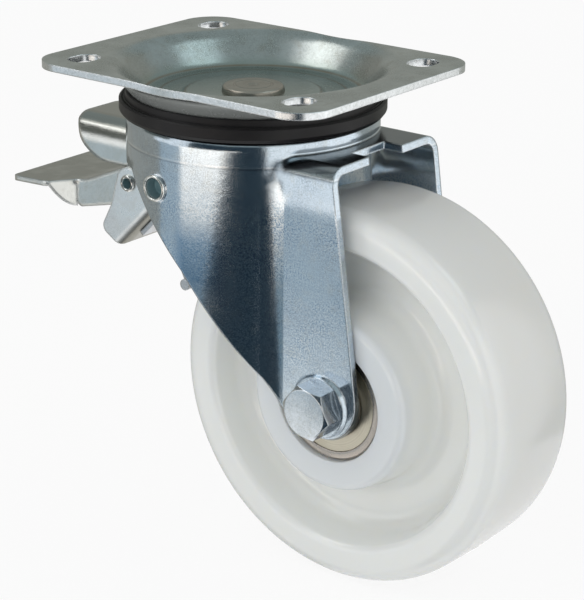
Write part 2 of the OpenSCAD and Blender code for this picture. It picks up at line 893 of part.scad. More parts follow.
// The release hood in side view, less wall: a flat top, a round nose, and a foot on the tread
module hood_outline(wall) {
  rear = pivot_at[0] - hood_rear_x;
  nose_at = pivot_at + [-hood_reach + hood_nose_r, hood_rise + hood_nose_lift];
  intersection() {
    union() {
      translate(nose_at) circle(r = hood_nose_r - wall);
      translate([nose_at[0], nose_at[1] - hood_nose_r + wall])
        square([rear - nose_at[0] + (wall > 0 ? 1 : 0), 2 * hood_nose_r]);
    }
    translate([nose_at[0] - hood_nose_r - 1, pivot_at[1] + hood_rise - wall - hood_reach])
      square([hood_reach + 2, hood_reach]);
  }
}

module hood_body(wall) {
  half = arm_in - touch - wall;
  top = pivot_at[1] + hood_rise - wall;
  front = pivot_at[0] - hood_reach + wall;
  intersection() {
    across(-arm_in, arm_in) hood_outline(wall);
    along(front - 5, pivot_at[0]) polygon(rounded(
      [[-half, top - hood_reach], [half, top - hood_reach], [half, top], [-half, top]],
      [0, 0, hood_round_r - wall, hood_round_r - wall]
    ));
    translate([0, 0, top - hood_reach]) linear_extrude(2 * hood_reach) polygon(rounded(
      [[front, -half], [pivot_at[0], -half], [pivot_at[0], half], [front, half]],
      [hood_corner_r - wall, 0, 0, hood_corner_r - wall]
    ));
  }
}

module release_hood() {
  line = tread_line();
  lift = [0, touch];
  color("gainsboro") difference() {
    hood_body(0);
    hood_body(lever_t);
    across(-lever_w, lever_w) polygon([
      line[0] + lift + 10 * unit(line[0] - line[1]),
      line[1] + lift,
      line[1] + lift + [0, -40],
      line[0] + lift + [10, -40]
    ]);
    translate([pivot_at[0] - hood_reach + 14, -arm_in + 4, pivot_at[1] - 30])
      cube([hood_reach, 2 * arm_in - 8, 28]);
  }
}

module lock_pawl() {
  turn_in = [cos(lever_turn), -sin(lever_turn)];
  tip = pivot_at + lever_boss_r * [sin(lever_turn), cos(lever_turn)] + pawl_reach * turn_in;
  color("gray") across(-arm_in + touch, arm_in - touch) polygon([
    tip - touch * turn_in,
    tip - pawl_l * turn_in,
    tip - pawl_l * turn_in + [-0.6, -pawl_h],
    tip - touch * turn_in + [-1, -pawl_h]
  ]);
}

module link_rivets() {
  head_t = 1.3;
  head_r = link_rivet_r + 1.1;
  hole_r = link_rivet_r - 0.6;
  y_in = arm_in - touch;
  y_out = bracket_out + 0.1;
  color("silver") for (side = [-1, 1])
    translate([link_at[0], 0, link_at[1]]) rotate([side * 90, 0, 0]) rotate_extrude() {
      tube_section(hole_r, link_rivet_r, y_in - head_t, y_out + head_t);
      tube_section(hole_r + 0.2, head_r, y_in - head_t, y_in);
      tube_section(hole_r + 0.2, head_r, y_out, y_out + head_t);
    }
}

// Brake shoe

// The bracket's web lies at 45 degrees, facing the tread
web_low = link_at + [-web_low_x, -web_low_z];
web_high = link_at + [web_high_x, -web_high_z];
web_turn = unit(web_high - web_low);

module bracket_outline() {
  translate(link_at) circle(r = bracket_boss_r);
  polygon(concat(
    [link_at + [5.2, 3.3], link_at + [-bracket_back_x, bracket_back_z]],
    rounded(
      [
        link_at + [-bracket_back_x, bracket_back_z],
        link_at + [-bracket_waist_x, -bracket_waist_z],
        link_at + [-bracket_toe_x, -bracket_toe_z],
        link_at + [-bracket_heel_x, -bracket_heel_z],
        web_low,
        web_high,
        link_at + [9, -5]
      ],
      [0, 0, bracket_toe_r, bracket_heel_r, 0, 0, 2]
    )
  ));
}

// The bracket is a channel, bent round along both edges of its web
module shoe_bracket() {
  fold = bracket_t + 2;
  long = 2 * link_x;
  lean = -atan2(web_turn[1], web_turn[0]);
  color("lightgray") difference() {
    intersection() {
      across(-bracket_out - 1, bracket_out + 1) bracket_outline();
      translate([web_low[0], 0, web_low[1]]) rotate([0, lean, 0]) rotate([90, 0, 90])
        translate([0, 0, -long]) linear_extrude(2 * long) pressed_section(
          [[-bracket_out, long], [-bracket_out, 0], [bracket_out, 0], [bracket_out, long]],
          [fold, fold], bracket_t
        );
    }
    translate([link_at[0], 0, link_at[1]]) rotate([90, 0, 0])
      cylinder(r = link_rivet_r + fit, h = 4 * bracket_out, center = true);
    leaf_rivet_holes();
  }
}

// Centre of the leaf's eye, set off from the tread
leaf_lean = 160;
leaf_eye_at = axle_at + (wheel_d / 2 + leaf_gap + leaf_eye_r) * [cos(leaf_lean), sin(leaf_lean)];
leaf_fold_at = web_high + 1.8 * web_turn - touch * left_of(web_turn);
leaf_run = unit(leaf_fold_at - leaf_eye_at);

module leaf_rivet_row(r, h0, h1) {
  at = web_low + leaf_rivet_in * web_turn;
  for (y = [-0.5, 0.5])
    translate([at[0], y * arm_in, at[1]]) rotate([0, 135, 0]) translate([0, 0, h0])
      cylinder(r = r, h = h1 - h0);
}

module leaf_rivet_holes() {
  leaf_rivet_row(leaf_rivet_r + touch, -2 * bracket_t, 2 * bracket_t);
}

module brake_leaf() {
  half = arm_in + 1.5;
  color("darkgray") difference() {
    union() {
      across(-half, half) pressed_section(
        [leaf_eye_at - leaf_t / 2 * left_of(leaf_run), leaf_fold_at, web_low + leaf_end_in * web_turn],
        [leaf_t + 3], leaf_t
      );
      across(-half - 2, half + 2) translate(leaf_eye_at) circle(r = leaf_eye_r);
    }
    leaf_rivet_holes();
  }
}

module leaf_rivets() {
  shank = leaf_rivet_head_h - 0.2;
  color("silver") {
    leaf_rivet_row(leaf_rivet_r, -bracket_t - shank, leaf_t + shank);
    leaf_rivet_row(leaf_rivet_head_r, -bracket_t - leaf_rivet_head_h, -bracket_t - touch);
    leaf_rivet_row(leaf_rivet_head_r, leaf_t + 2 * touch, leaf_t + leaf_rivet_head_h);
  }
}

top_plate();
king_pin();
lower_race();
lock_ring();
upper_balls();
lower_balls();
dust_seal();
fork();
lever_pivot();
axle_bolt();
axle_nut();
nut_washer();
axle_sleeve();
distance_tube();
spacer(-1);  // near_spacer
spacer(1);  // far_spacer
inner_ring(-1);  // near_inner_ring
inner_ring(1);  // far_inner_ring
wheel();
outer_ring(-1);  // near_outer_ring
outer_ring(1);  // far_outer_ring
bearing_balls(-1);  // near_balls
bearing_balls(1);  // far_balls
shields(-1);  // near_shields
shields(1);  // far_shields
brake_pedal();
release_hood();
lock_pawl();
link_rivets();
shoe_bracket();
brake_leaf();
leaf_rivets();
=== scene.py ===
"""Dresses a plate-mounted swivel castor: zinc-plated fork, polyamide wheel and foot brake."""

import logging
import math
from dataclasses import dataclass
from enum import Enum
from typing import Any, Mapping, Sequence

import bpy
from mathutils import Matrix, Vector


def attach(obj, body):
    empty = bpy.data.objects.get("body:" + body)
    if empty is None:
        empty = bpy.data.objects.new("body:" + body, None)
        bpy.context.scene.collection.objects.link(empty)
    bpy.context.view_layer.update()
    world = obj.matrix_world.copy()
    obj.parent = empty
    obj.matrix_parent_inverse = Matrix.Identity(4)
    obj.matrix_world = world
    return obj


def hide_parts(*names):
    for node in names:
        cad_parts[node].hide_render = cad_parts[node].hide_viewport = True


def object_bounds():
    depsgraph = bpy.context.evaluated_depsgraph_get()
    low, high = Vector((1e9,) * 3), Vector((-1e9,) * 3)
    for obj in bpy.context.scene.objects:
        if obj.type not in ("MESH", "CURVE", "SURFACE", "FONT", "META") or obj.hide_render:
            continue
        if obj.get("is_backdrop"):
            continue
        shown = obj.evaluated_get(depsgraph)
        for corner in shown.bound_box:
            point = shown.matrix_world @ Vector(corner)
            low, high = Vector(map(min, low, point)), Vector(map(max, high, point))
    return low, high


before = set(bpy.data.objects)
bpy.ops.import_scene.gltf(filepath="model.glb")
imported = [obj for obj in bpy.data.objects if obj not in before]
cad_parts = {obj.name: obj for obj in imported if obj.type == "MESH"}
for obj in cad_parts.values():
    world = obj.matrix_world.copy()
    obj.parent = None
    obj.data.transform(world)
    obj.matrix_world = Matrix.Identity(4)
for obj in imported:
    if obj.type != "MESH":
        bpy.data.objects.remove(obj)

LOG = logging.getLogger("castor")
MM = 0.001
Point = tuple[float, float]
Place = tuple[float, float, float]
Colour = tuple[float, float, float]

# Points on the castor's axes, in millimetres
SWIVEL: Place = (0.0, 0.0, 0.0)
AXLE: Place = (59.4, 0.0, -117.6)
PIVOT: Place = (-7.5, 0.0, -41.1)
LINK: Place = (-45.4, 0.0, -52.5)

# What turns a near piece into a far one
MIRROR = Matrix.Scale(-1.0, 4, (0.0, 1.0, 0.0))


class Body(str, Enum):
    """The bodies that move against each other."""

    PLATE = "plate"
    FORK = "fork"
    WHEEL = "wheel"
    LEVER = "lever"
    SHOE = "shoe"


class Slot(str, Enum):
    """The names of the material slots that go with new pieces."""

    ZINC_BOLT = "zinc_bolt"
    RACE_STEEL = "race_steel"
    RING_STEEL = "ring_steel"
    POLYAMIDE = "polyamide"


class Axis(Enum):
    """The axis that a turned piece is spun round."""

    ALONG_Y = (0.0, 1.0, 0.0)
    ALONG_Z = (0.0, 0.0, 1.0)


# Shader maths


class Sock:
    """A shader socket that adds a Math node when it is used in an expression."""

    def __init__(self, tree: bpy.types.NodeTree, socket: bpy.types.NodeSocket) -> None:
        """Keeps the socket and the tree that it is in."""
        self.tree = tree
        self.socket = socket

    def _math(self, operation: str, first: Any, second: Any) -> "Sock":
        """Adds one Math node.

        Args:
            operation: The node's operation.
            first: A number or a socket.
            second: A number or a socket.

        Returns:
            The node's value.
        """
        node = self.tree.nodes.new("ShaderNodeMath")
        node.operation = operation
        for place, value in enumerate((first, second)):
            if isinstance(value, Sock):
                self.tree.links.new(value.socket, node.inputs[place])
            else:
                node.inputs[place].default_value = value
        return Sock(self.tree, node.outputs[0])

    def __add__(self, other: Any) -> "Sock":
        """self + other."""
        return self._math("ADD", self, other)

    def __radd__(self, other: Any) -> "Sock":
        """other + self."""
        return self._math("ADD", other, self)

    def __sub__(self, other: Any) -> "Sock":
        """self - other."""
        return self._math("SUBTRACT", self, other)

    def __rsub__(self, other: Any) -> "Sock":
        """other - self."""
        return self._math("SUBTRACT", other, self)

    def __mul__(self, other: Any) -> "Sock":
        """self * other."""
        return self._math("MULTIPLY", self, other)

    def __rmul__(self, other: Any) -> "Sock":
        """other * self."""
        return self._math("MULTIPLY", other, self)

    def __abs__(self) -> "Sock":
        """The value without its sign."""
        return self._math("ABSOLUTE", self, 0.0)

    def clipped(self, low: float = 0.0, high: float = 1.0) -> "Sock":
        """Keeps the value between low and high."""
        return self._math("MINIMUM", self._math("MAXIMUM", self, low), high)

    def ramp(self, start: float, over: float, top: float = 1.0) -> "Sock":
        """Rises from 0 at a start, by 1 over a stretch.

        Args:
            start: The value that it rises from.
            over: The stretch; below 0, it rises as the value falls.
            top: The most that it reaches.

        Returns:
            The share, from 0 to top.
        """
        return ((self - start) * (1.0 / over)).clipped(0.0, top)


class Shader:
    """A material under way: its node tree and its Principled surface."""

    def __init__(self, name: str) -> None:
        """Starts an empty material of that name."""
        self.material = bpy.data.materials.new(name)
        self.material.use_nodes = True
        self.tree = self.material.node_tree
        self.tree.nodes.clear()
        self.surface = self.tree.nodes.new("ShaderNodeBsdfPrincipled")
        output = self.tree.nodes.new("ShaderNodeOutputMaterial")
        self.tree.links.new(self.surface.outputs[0], output.inputs["Surface"])
        self.place = self.add("ShaderNodeTexCoord", {}, {}, "Object")

    def add(
        self,
        kind: str,
        settings: Mapping[str, Any],
        sockets: Mapping[Any, Any],
        out: Any = 0,
    ) -> Sock:
        """Adds a node of any kind.

        Args:
            kind: The node's type.
            settings: Its settings, set first.
            sockets: Values or links of its inputs, by name or number.
            out: The output that is wanted, by name or number.

        Returns:
            That output.
        """
        node = self.tree.nodes.new(kind)
        for key, value in settings.items():
            setattr(node, key, value)
        for key, value in sockets.items():
            self.fill(node.inputs[key], value)
        return Sock(self.tree, node.outputs[out])

    def fill(self, target: bpy.types.NodeSocket, value: Any) -> None:
        """Sets an input to a value, or links it to a socket.

        Args:
            target: The input.
            value: The value or the socket.
        """
        if isinstance(value, Sock):
            self.tree.links.new(value.socket, target)
        else:
            target.default_value = value

    def vector(
        self, operation: str, first: Any, second: Any = (0.0, 0.0, 0.0), out: Any = 0
    ) -> Sock:
        """Adds one Vector Math node.

        Args:
            operation: The node's operation.
            first: A vector or a socket.
            second: A vector or a socket, for an operation on two.
            out: The output that is wanted, by name or number.

        Returns:
            That output.
        """
        sockets = {0: first, 1: second}
        return self.add("ShaderNodeVectorMath", {"operation": operation}, sockets, out)

    def noise(self, size_mm: float, detail: float = 2.0, stretch: Place = (1.0, 1.0, 1.0)) -> Sock:
        """A cloud of values from 0 to 1.

        Args:
            size_mm: The size of its patches.
            detail: How many finer layers lie on it.
            stretch: How much longer the patches are along X, Y and Z.

        Returns:
            The value.
        """
        scale = tuple(1.0 / (size_mm * MM * part) for part in stretch)
        where = self.add("ShaderNodeMapping", {}, {"Vector": self.place, "Scale": scale})
        return self.add("ShaderNodeTexNoise", {}, {"Vector": where, "Scale": 1.0, "Detail": detail})

    def mix(self, share: Sock, first: Any, second: Any) -> Sock:
        """Mixes two colours.

        Args:
            share: How much of the second colour shows.
            first: A colour or a socket.
            second: A colour or a socket.

        Returns:
            The mixed colour.
        """
        first, second = (
            part if isinstance(part, Sock) else (*part, 1.0) for part in (first, second)
        )
        return self.add("ShaderNodeMix", {"data_type": "RGBA"}, {0: share, 6: first, 7: second}, 2)

    def along(self, axis: int) -> Sock:
        """The place along X, Y or Z, numbered from 0, in millimetres."""
        return self.add("ShaderNodeSeparateXYZ", {}, {0: self.place}, axis) * (1.0 / MM)

    def facing(self) -> Sock:
        """The surface's own normal."""
        return self.add("ShaderNodeNewGeometry", {}, {}, "Normal")

    def upward(self) -> Sock:
        """How far the surface looks up: 1 for a top face, -1 for an underside."""
        return self.add("ShaderNodeSeparateXYZ", {}, {0: self.facing()}, 2)

    def radius(self, centre_mm: Place, axis: Axis) -> Sock:
        """The distance from an axis, in millimetres.

        Args:
            centre_mm: A point on the axis.
            axis: The axis.

        Returns:
            The distance.
        """
        offset = tuple(-MM * part for part in centre_mm)
        where = self.add("ShaderNodeMapping", {}, {"Vector": self.place, "Location": offset})
        flat = self.vector("MULTIPLY", where, tuple(1.0 - part for part in axis.value))
        return self.vector("LENGTH", flat, out="Value") * (1.0 / MM)

    def soft_edges(self, radius_mm: float) -> Sock:
        """The surface's normal with its edges rounded off."""
        return self.add("ShaderNodeBevel", {"samples": 6}, {"Radius": radius_mm * MM})

    def edge_mask(self, soft: Sock) -> Sock:
        """How far the rounded normal leans from the flat one: near 1 along edges."""
        return self.vector("DOT_PRODUCT", soft, self.facing(), "Value").ramp(1.0, -0.167)

    def bump(self, height: Sock, depth_mm: float, normal: Sock | None = None) -> Sock:
        """Turns a height into a normal.

        Args:
            height: The height, from 0 to 1.
            depth_mm: How deep a step of 1 is.
            normal: A normal to start from.

        Returns:
            The bumped normal.
        """
        sockets: dict[str, Any] = {"Height": height, "Distance": depth_mm * MM, "Strength": 1.0}
        if normal is not None:
            sockets["Normal"] = normal
        return self.add("ShaderNodeBump", {}, sockets)

    def lean(self, share: Sock, first: Sock, second: Sock) -> Sock:
        """Leans one normal towards another.

        Args:
            share: How far it leans.
            first: The normal to start from.
            second: The normal to lean to.

        Returns:
            The normal between them.
        """
        sockets = {0: share, 4: first, 5: second}
        return self.vector(
            "NORMALIZE", self.add("ShaderNodeMix", {"data_type": "VECTOR"}, sockets, 1)
        )

    def feed(self, **sockets: Any) -> bpy.types.Material:
        """Sets the surface's sockets, with _ for a space in their names.

        Args:
            sockets: Values or links.

        Returns:
            The finished material.
        """
        for key, value in sockets.items():
            self.fill(self.surface.inputs[key.replace("_", " ")], value)
        return self.material


# Finishes


@dataclass(frozen=True)
class PlatedSteel:
    """Pressed steel with bright zinc: a fine sparkle, cloudy patches and bright edges."""

    name: str
    bright: Colour
    dull: Colour
    stain: Colour
    edge: Colour = (0.90, 0.92, 0.94)
    rough: float = 0.23
    rough_spread: float = 0.12
    grain_mm: float = 0.42
    grain_depth_mm: float = 0.01
    sparkle: float = 0.42
    peel_mm: float = 2.4
    peel_depth_mm: float = 0.02
    wave_mm: float = 34.0
    wave_depth_mm: float = 0.12
    cloud_mm: float = 15.0
    edge_mm: float = 0.8

    def toned(self, sh: Shader, body: Sock) -> Sock:
        """Lays what is this pressing's own over the zinc; plain zinc has nothing.

        Args:
            sh: The material under way.
            body: The zinc's colour.

        Returns:
            The colour with it.
        """
        return body

    def eased(self, sh: Shader, soft: Sock) -> Sock:
        """Eases the surface's normal where this pressing needs more than rounded edges.

        Args:
            sh: The material under way.
            soft: The normal with its edges rounded off.

        Returns:
            The eased normal.
        """
        return soft

    def metal(self, sh: Shader) -> Any:
        """How metallic the surface is, as a number or a socket."""
        return 1.0

    def wear(self, sh: Shader, worn: Sock) -> Sock:
        """How far the zinc is rubbed bright, given how near an edge is."""
        return worn

    def material(self) -> bpy.types.Material:
        """Builds the finish's nodes."""
        sh = Shader(self.name)
        cloud = sh.noise(self.cloud_mm, 4.0)
        patch = sh.noise(self.cloud_mm * 0.27, 3.0)
        grain = sh.noise(self.grain_mm, 1.0)
        streak = sh.noise(self.grain_mm, 2.0, (1.0, 1.0, 16.0))
        soft = sh.soft_edges(self.edge_mm)
        worn = self.wear(sh, sh.edge_mask(soft))
        body = sh.mix(cloud.ramp(0.38, 0.385), self.bright, self.dull)
        body = sh.mix(patch.ramp(0.52, 0.417, 0.5), body, self.stain)
        pit = tuple(0.42 * part for part in self.dull)
        spark = tuple(min(1.0, 1.3 * part) for part in self.bright)
        fine = cloud.ramp(0.25, 0.5) * self.sparkle
        body = sh.mix(grain.ramp(0.5, -0.167) * fine, body, pit)
        body = sh.mix(grain.ramp(0.52, 0.167) * fine, body, spark)
        body = sh.mix(worn * 0.6, self.toned(sh, body), self.edge)
        rough = self.rough + (cloud - 0.5) * self.rough_spread + (streak - 0.5) * 0.1
        wave = sh.bump(sh.noise(self.wave_mm, 0.0), self.wave_depth_mm, self.eased(sh, soft))
        skin = sh.bump(sh.noise(self.peel_mm, 2.0), self.peel_depth_mm, wave)
        return sh.feed(
            Base_Color=body,
            Metallic=self.metal(sh),
            Roughness=(rough + (patch - 0.5) * 0.08).clipped(0.1, 0.9),
            Normal=sh.bump(grain * 0.8 + streak * 0.2, self.grain_depth_mm, skin),
        )


@dataclass(frozen=True)
class DrawnFork(PlatedSteel):
    """The fork's zinc, drawn smooth where the round front turns into the legs."""

    # The line that the drawing ring leaves round the top
    mark: Colour = (0.26, 0.31, 0.35)
    draw_z_mm: float = -29.4
    draw_w_mm: float = 0.7
    draw_r_mm: float = 49.0
    # Blue flecks from under the pivot down to the foot, and a blue patch of painted shade low on
    # the front
    fleck: Colour = (0.20, 0.34, 0.50)
    fleck_mm: float = 0.62
    fleck_z_mm: float = -38.0
    foot_z_mm: float = -112.0
    shade_patch_x_mm: Point = (0.0, 24.0)
    shade_patch_z_mm: Point = (-84.0, -50.0)
    # Painted shade on the shoulder's flat top behind the front, where it reflects dark things
    shade: Colour = (0.04, 0.05, 0.052)
    shoulder_x_mm: float = 20.0
    # The seat of the bolt, the heads of the creases and the bow of the legs
    seat_r_mm: float = 14.0
    crease_at: Place = (37.5, 35.5, -34.5)
    crease_reach_mm: float = 11.0
    crease_mm: float = 5.0
    bow_z_mm: float = -46.0
    bow_mm: float = 22.0
    bow_depth_mm: float = 3.3

    def lined(self, sh: Shader, body: Sock) -> Sock:
        """Draws the drawing ring's line.

        Args:
            sh: The material under way.
            body: The zinc's colour.

        Returns:
            The colour with the line.
        """
        outside = sh.radius(SWIVEL, Axis.ALONG_Z).ramp(self.draw_r_mm, 0.125)
        rub = outside * sh.noise(7.0, 3.0).ramp(0.219, 0.625)
        for shift, tone in ((0.0, self.mark), (0.8 * self.draw_w_mm, self.edge)):
            off = abs(sh.along(2) - (self.draw_z_mm + shift))
            body = sh.mix(off.ramp(self.draw_w_mm, -self.draw_w_mm) * rub, body, tone)
        return body

    def flecked(self, sh: Shader, body: Sock) -> Sock:
        """Flecks the lower part, and paints a blue patch of shade low on its front.

        Args:
            sh: The material under way.
            body: The zinc's colour.

        Returns:
            The colour with the flecks.
        """
        x, z = sh.along(0), sh.along(2)
        speck = sh.noise(self.fleck_mm, 2.0)
        low = z.ramp(self.fleck_z_mm, -12.5) * z.ramp(self.foot_z_mm, 16.7)
        patch = low * sh.noise(22.0).ramp(0.3, 0.333)
        body = sh.mix(speck.ramp(0.5, -0.143, 0.75) * patch, body, self.fleck)
        body = sh.mix(speck.ramp(0.5, 0.143, 0.4) * patch, body, self.edge)
        # The blue patch: painted shade, a darker reflection low on the front
        blue: Any = 1.0
        for place, (start, end), fade in ((x, self.shade_patch_x_mm, 5.0), (z, self.shade_patch_z_mm, 10.0)):
            blue = place.ramp(start, fade) * place.ramp(end, -fade) * blue
        return sh.mix(blue * (speck * 2.0 - 0.25).clipped(0.2, 1.0), body, self.fleck)

    def toned(self, sh: Shader, body: Sock) -> Sock:
        """Draws the line, flecks the lower part and paints shade on the shoulder's flat top."""
        body = self.flecked(sh, self.lined(sh, body))
        # Painted shade on the shoulder's flat top, where it reflects dark things
        flat = sh.upward().ramp(0.95, 0.05, 0.8) * sh.along(0).ramp(self.shoulder_x_mm, 10.0)
        return sh.mix(flat, body, self.shade)

    def crease_head(self, sh: Shader) -> Sock:
        """Where the heads of the two creases are."""
        head = tuple(abs(part) * MM for part in self.crease_at)
        off = sh.vector("DISTANCE", sh.vector("ABSOLUTE", sh.place), head, "Value")
        return off.ramp(self.crease_reach_mm * MM, -self.crease_reach_mm * MM / 3.0)

    def wear(self, sh: Shader, worn: Sock) -> Sock:
        """Leaves the creases' heads and the axle's seats as they were drawn."""
        off_seat = sh.radius(AXLE, Axis.ALONG_Y).ramp(self.seat_r_mm, 1.0)
        return worn * (1.0 - self.crease_head(sh)) * off_seat

    def eased(self, sh: Shader, soft: Sock) -> Sock:
        """Rounds the heads of the creases, and bows the legs a little under their bends."""
        smooth = sh.lean(self.crease_head(sh), soft, sh.soft_edges(self.crease_mm))
        rise = sh.along(2).ramp(self.bow_z_mm, self.bow_mm)
        bowed = sh.bump(1.0 - rise * rise, self.bow_depth_mm, smooth)
        return sh.lean(sh.along(0).ramp(self.crease_at[0], 4.0), smooth, bowed)


@dataclass(frozen=True)
class HollowZinc(PlatedSteel):
    """The zinc of a hollow pin or rivet, with painted shade, dark teal and dull, inside its bore.
    """

    # Painted shade inside the bore
    bore: Colour = (0.19, 0.31, 0.34)
    centre_mm: Place = PIVOT
    bore_r_mm: float = 3.95

    def inside(self, sh: Shader) -> Sock:
        """Where the bore is."""
        return sh.radius(self.centre_mm, Axis.ALONG_Y).ramp(self.bore_r_mm, -0.167)

    def metal(self, sh: Shader) -> Any:
        """The bore is dull."""
        return 1.0 - self.inside(sh) * 0.6

    def toned(self, sh: Shader, body: Sock) -> Sock:
        """Paints shade in the bore."""
        return sh.mix(self.inside(sh), body, self.bore)


@dataclass(frozen=True)
class StampedBracket(PlatedSteel):
    """The shoe bracket's zinc, with painted shade on the flange that looks down."""

    # Painted shade on what looks down, for the shadowed floor that it would reflect
    under: Colour = (0.33, 0.325, 0.285)

    def toned(self, sh: Shader, body: Sock) -> Sock:
        """Paints shade on what looks down."""
        # Painted shade on the faces that look down
        return sh.mix(sh.upward().ramp(-0.2, -0.25), body, self.under)


@dataclass(frozen=True)
class DishedPlate(PlatedSteel):
    """The top plate's zinc: painted shade in the dish, with rings in its floor, and painted light
    on the dish's outside.
    """

    # Painted shade in the dish's floor
    dish_shade: Colour = (0.35, 0.40, 0.37)
    rust: Colour = (0.26, 0.21, 0.15)
    rings_mm: tuple[float, float, float] = (26.4, 36.6, 42.6)
    ring_w_mm: float = 0.9
    dish_mm: float = 9.0
    floor_mm: float = 46.5
    # Painted light on the dish's outside: dull and pale where it would reflect the dark seal
    under: Colour = (0.35, 0.37, 0.36)
    under_r_mm: float = 54.0

    def outer_wall(self, sh: Shader) -> Sock:
        """Where the surface is the outside of the dish, over the seal."""
        near = sh.radius(SWIVEL, Axis.ALONG_Z).ramp(self.under_r_mm, -1.0)
        return sh.upward().ramp(-0.1, -0.2) * near

    def metal(self, sh: Shader) -> Any:
        """The dish's outside is dull, to show painted light rather than the dark seal that it
        reflects.
        """
        return 1.0 - self.outer_wall(sh) * 0.6

    def toned(self, sh: Shader, body: Sock) -> Sock:
        """Paints shade on the dish's floor and light on its outside, draws its rings and brightens
        the sheared edge.
        """
        radius = sh.radius(SWIVEL, Axis.ALONG_Z)
        below = sh.along(2).ramp(-0.25 * self.dish_mm, -self.dish_mm)
        mottle = sh.noise(11.0, 4.0)
        inside = radius.ramp(self.floor_mm, -2.5)
        # Painted shade in the dish's floor, mottled
        body = sh.mix(below * inside * (0.4 + mottle * 0.9).clipped(), body, self.dish_shade)
        for ring in self.rings_mm:
            band = abs(radius - ring).ramp(self.ring_w_mm, -self.ring_w_mm)
            body = sh.mix(band * below * (0.4 + mottle).clipped(), body, self.rust)
        sheared = abs(sh.upward()).ramp(0.333, -0.333) * radius.ramp(self.under_r_mm, 1.0)
        body = sh.mix(sheared * (0.3 + sh.noise(1.2, 3.0)).clipped(), body, self.edge)
        # Painted light on the dish's outside
        return sh.mix(self.outer_wall(sh), body, self.under)


@dataclass(frozen=True)
class TopShadedZinc(PlatedSteel):
    """The foot lever's zinc, with painted shade on its top faces."""

    # Painted shade on the top faces
    worn: Colour = (0.36, 0.36, 0.33)

    def toned(self, sh: Shader, body: Sock) -> Sock:
        """Paints shade on the top faces, mottled."""
        # Painted shade on what looks up
        top = sh.upward().ramp(0.5, 0.25) * (0.5 + sh.noise(9.0, 4.0)).clipped()
        return sh.mix(top, body, self.worn)


@dataclass(frozen=True)
class TurnedSteel:
    """Ground or turned steel with fine rings round the axle or the swivel axis."""

    name: str
    tone: Colour
    shade: Colour
    rough: float
    ring_mm: float
    centre_mm: Place = SWIVEL
    axis: Axis = Axis.ALONG_Z

    def material(self) -> bpy.types.Material:
        """Builds the finish's nodes."""
        sh = Shader(self.name)
        rings = sh.add(
            "ShaderNodeTexNoise",
            {"noise_dimensions": "1D"},
            {"W": sh.radius(self.centre_mm, self.axis), "Scale": 1.0 / self.ring_mm, "Detail": 3.0},
        )
        cloud = sh.noise(6.0, 4.0)
        soft = sh.soft_edges(0.3)
        tone = sh.mix(rings.ramp(0.4, 0.556), self.tone, self.shade)
        tone = sh.mix(cloud.ramp(0.5, 0.714), tone, self.shade)
        return sh.feed(
            Base_Color=tone,
            Metallic=1.0,
            Roughness=(self.rough + (cloud - 0.5) * 0.16).clipped(0.06, 0.9),
            Normal=sh.bump(rings, 0.01, soft),
        )


@dataclass(frozen=True)
class Polyamide:
    """Milky moulded polyamide: satin, a little translucent, with painted warm shade in the wheel's
    recess and painted shade on the hub's face.
    """

    name: str
    tone: Colour
    shade: Colour
    # Painted warm shade in the wheel's recess
    dust: Colour
    speck: Colour
    rough: float
    # Painted shade on the hub's face
    hub: Colour = (0.71, 0.745, 0.765)
    hub_r_mm: float = 36.0
    recess_mm: float = 21.0
    recess_fade_mm: float = 10.0

    def material(self) -> bpy.types.Material:
        """Builds the finish's nodes."""
        sh = Shader(self.name)
        cloud = sh.noise(34.0, 3.0)
        skin = sh.noise(0.9, 2.0)
        wave = sh.noise(16.0, 1.0)
        scuff = sh.noise(3.0, 5.0, (1.0, 7.0, 1.0))
        dirt = sh.noise(2.6, 1.0)
        # Painted warm shade in the recess
        recess_shade = abs(sh.along(1)).ramp(self.recess_mm, -self.recess_fade_mm)
        tone = sh.mix(cloud.ramp(0.4, 0.625), self.tone, self.shade)
        tone = sh.mix(recess_shade * (0.2 + cloud * 0.6), tone, self.dust)
        # Painted shade on the hub's face, outside the recess
        core = sh.radius(AXLE, Axis.ALONG_Y).ramp(self.hub_r_mm, -1.0)
        tone = sh.mix(core * (1.0 - recess_shade), tone, self.hub)
        tone = sh.mix(dirt.ramp(0.86, 0.0714, 0.4), tone, self.speck)
        rough = self.rough + (cloud - 0.5) * 0.08 + (scuff - 0.5) * 0.02
        return sh.feed(
            Base_Color=tone,
            Roughness=rough.clipped(0.1, 0.9),
            Specular_IOR_Level=0.85,
            IOR=1.53,
            Subsurface_Weight=0.5,
            Subsurface_Radius=(1.0, 0.92, 0.78),
            Subsurface_Scale=0.009,
            Normal=sh.bump(skin, 0.003, sh.bump(wave, 0.02)),
        )


@dataclass(frozen=True)
class SealRubber:
    """Black moulded rubber with a satin skin and a little dust in its grooves."""

    name: str
    tone: Colour
    dust: Colour
    rough: float

    def material(self) -> bpy.types.Material:
        """Builds the finish's nodes."""
        sh = Shader(self.name)
        skin = sh.noise(0.6, 3.0)
        cloud = sh.noise(9.0, 4.0)
        tone = sh.mix(cloud.ramp(0.5, 0.667, 0.6), self.tone, self.dust)
        return sh.feed(
            Base_Color=tone,
            Roughness=(self.rough + (cloud - 0.5) * 0.25).clipped(0.1, 0.95),
            Specular_IOR_Level=0.3,
            Normal=sh.bump(skin, 0.02),
        )


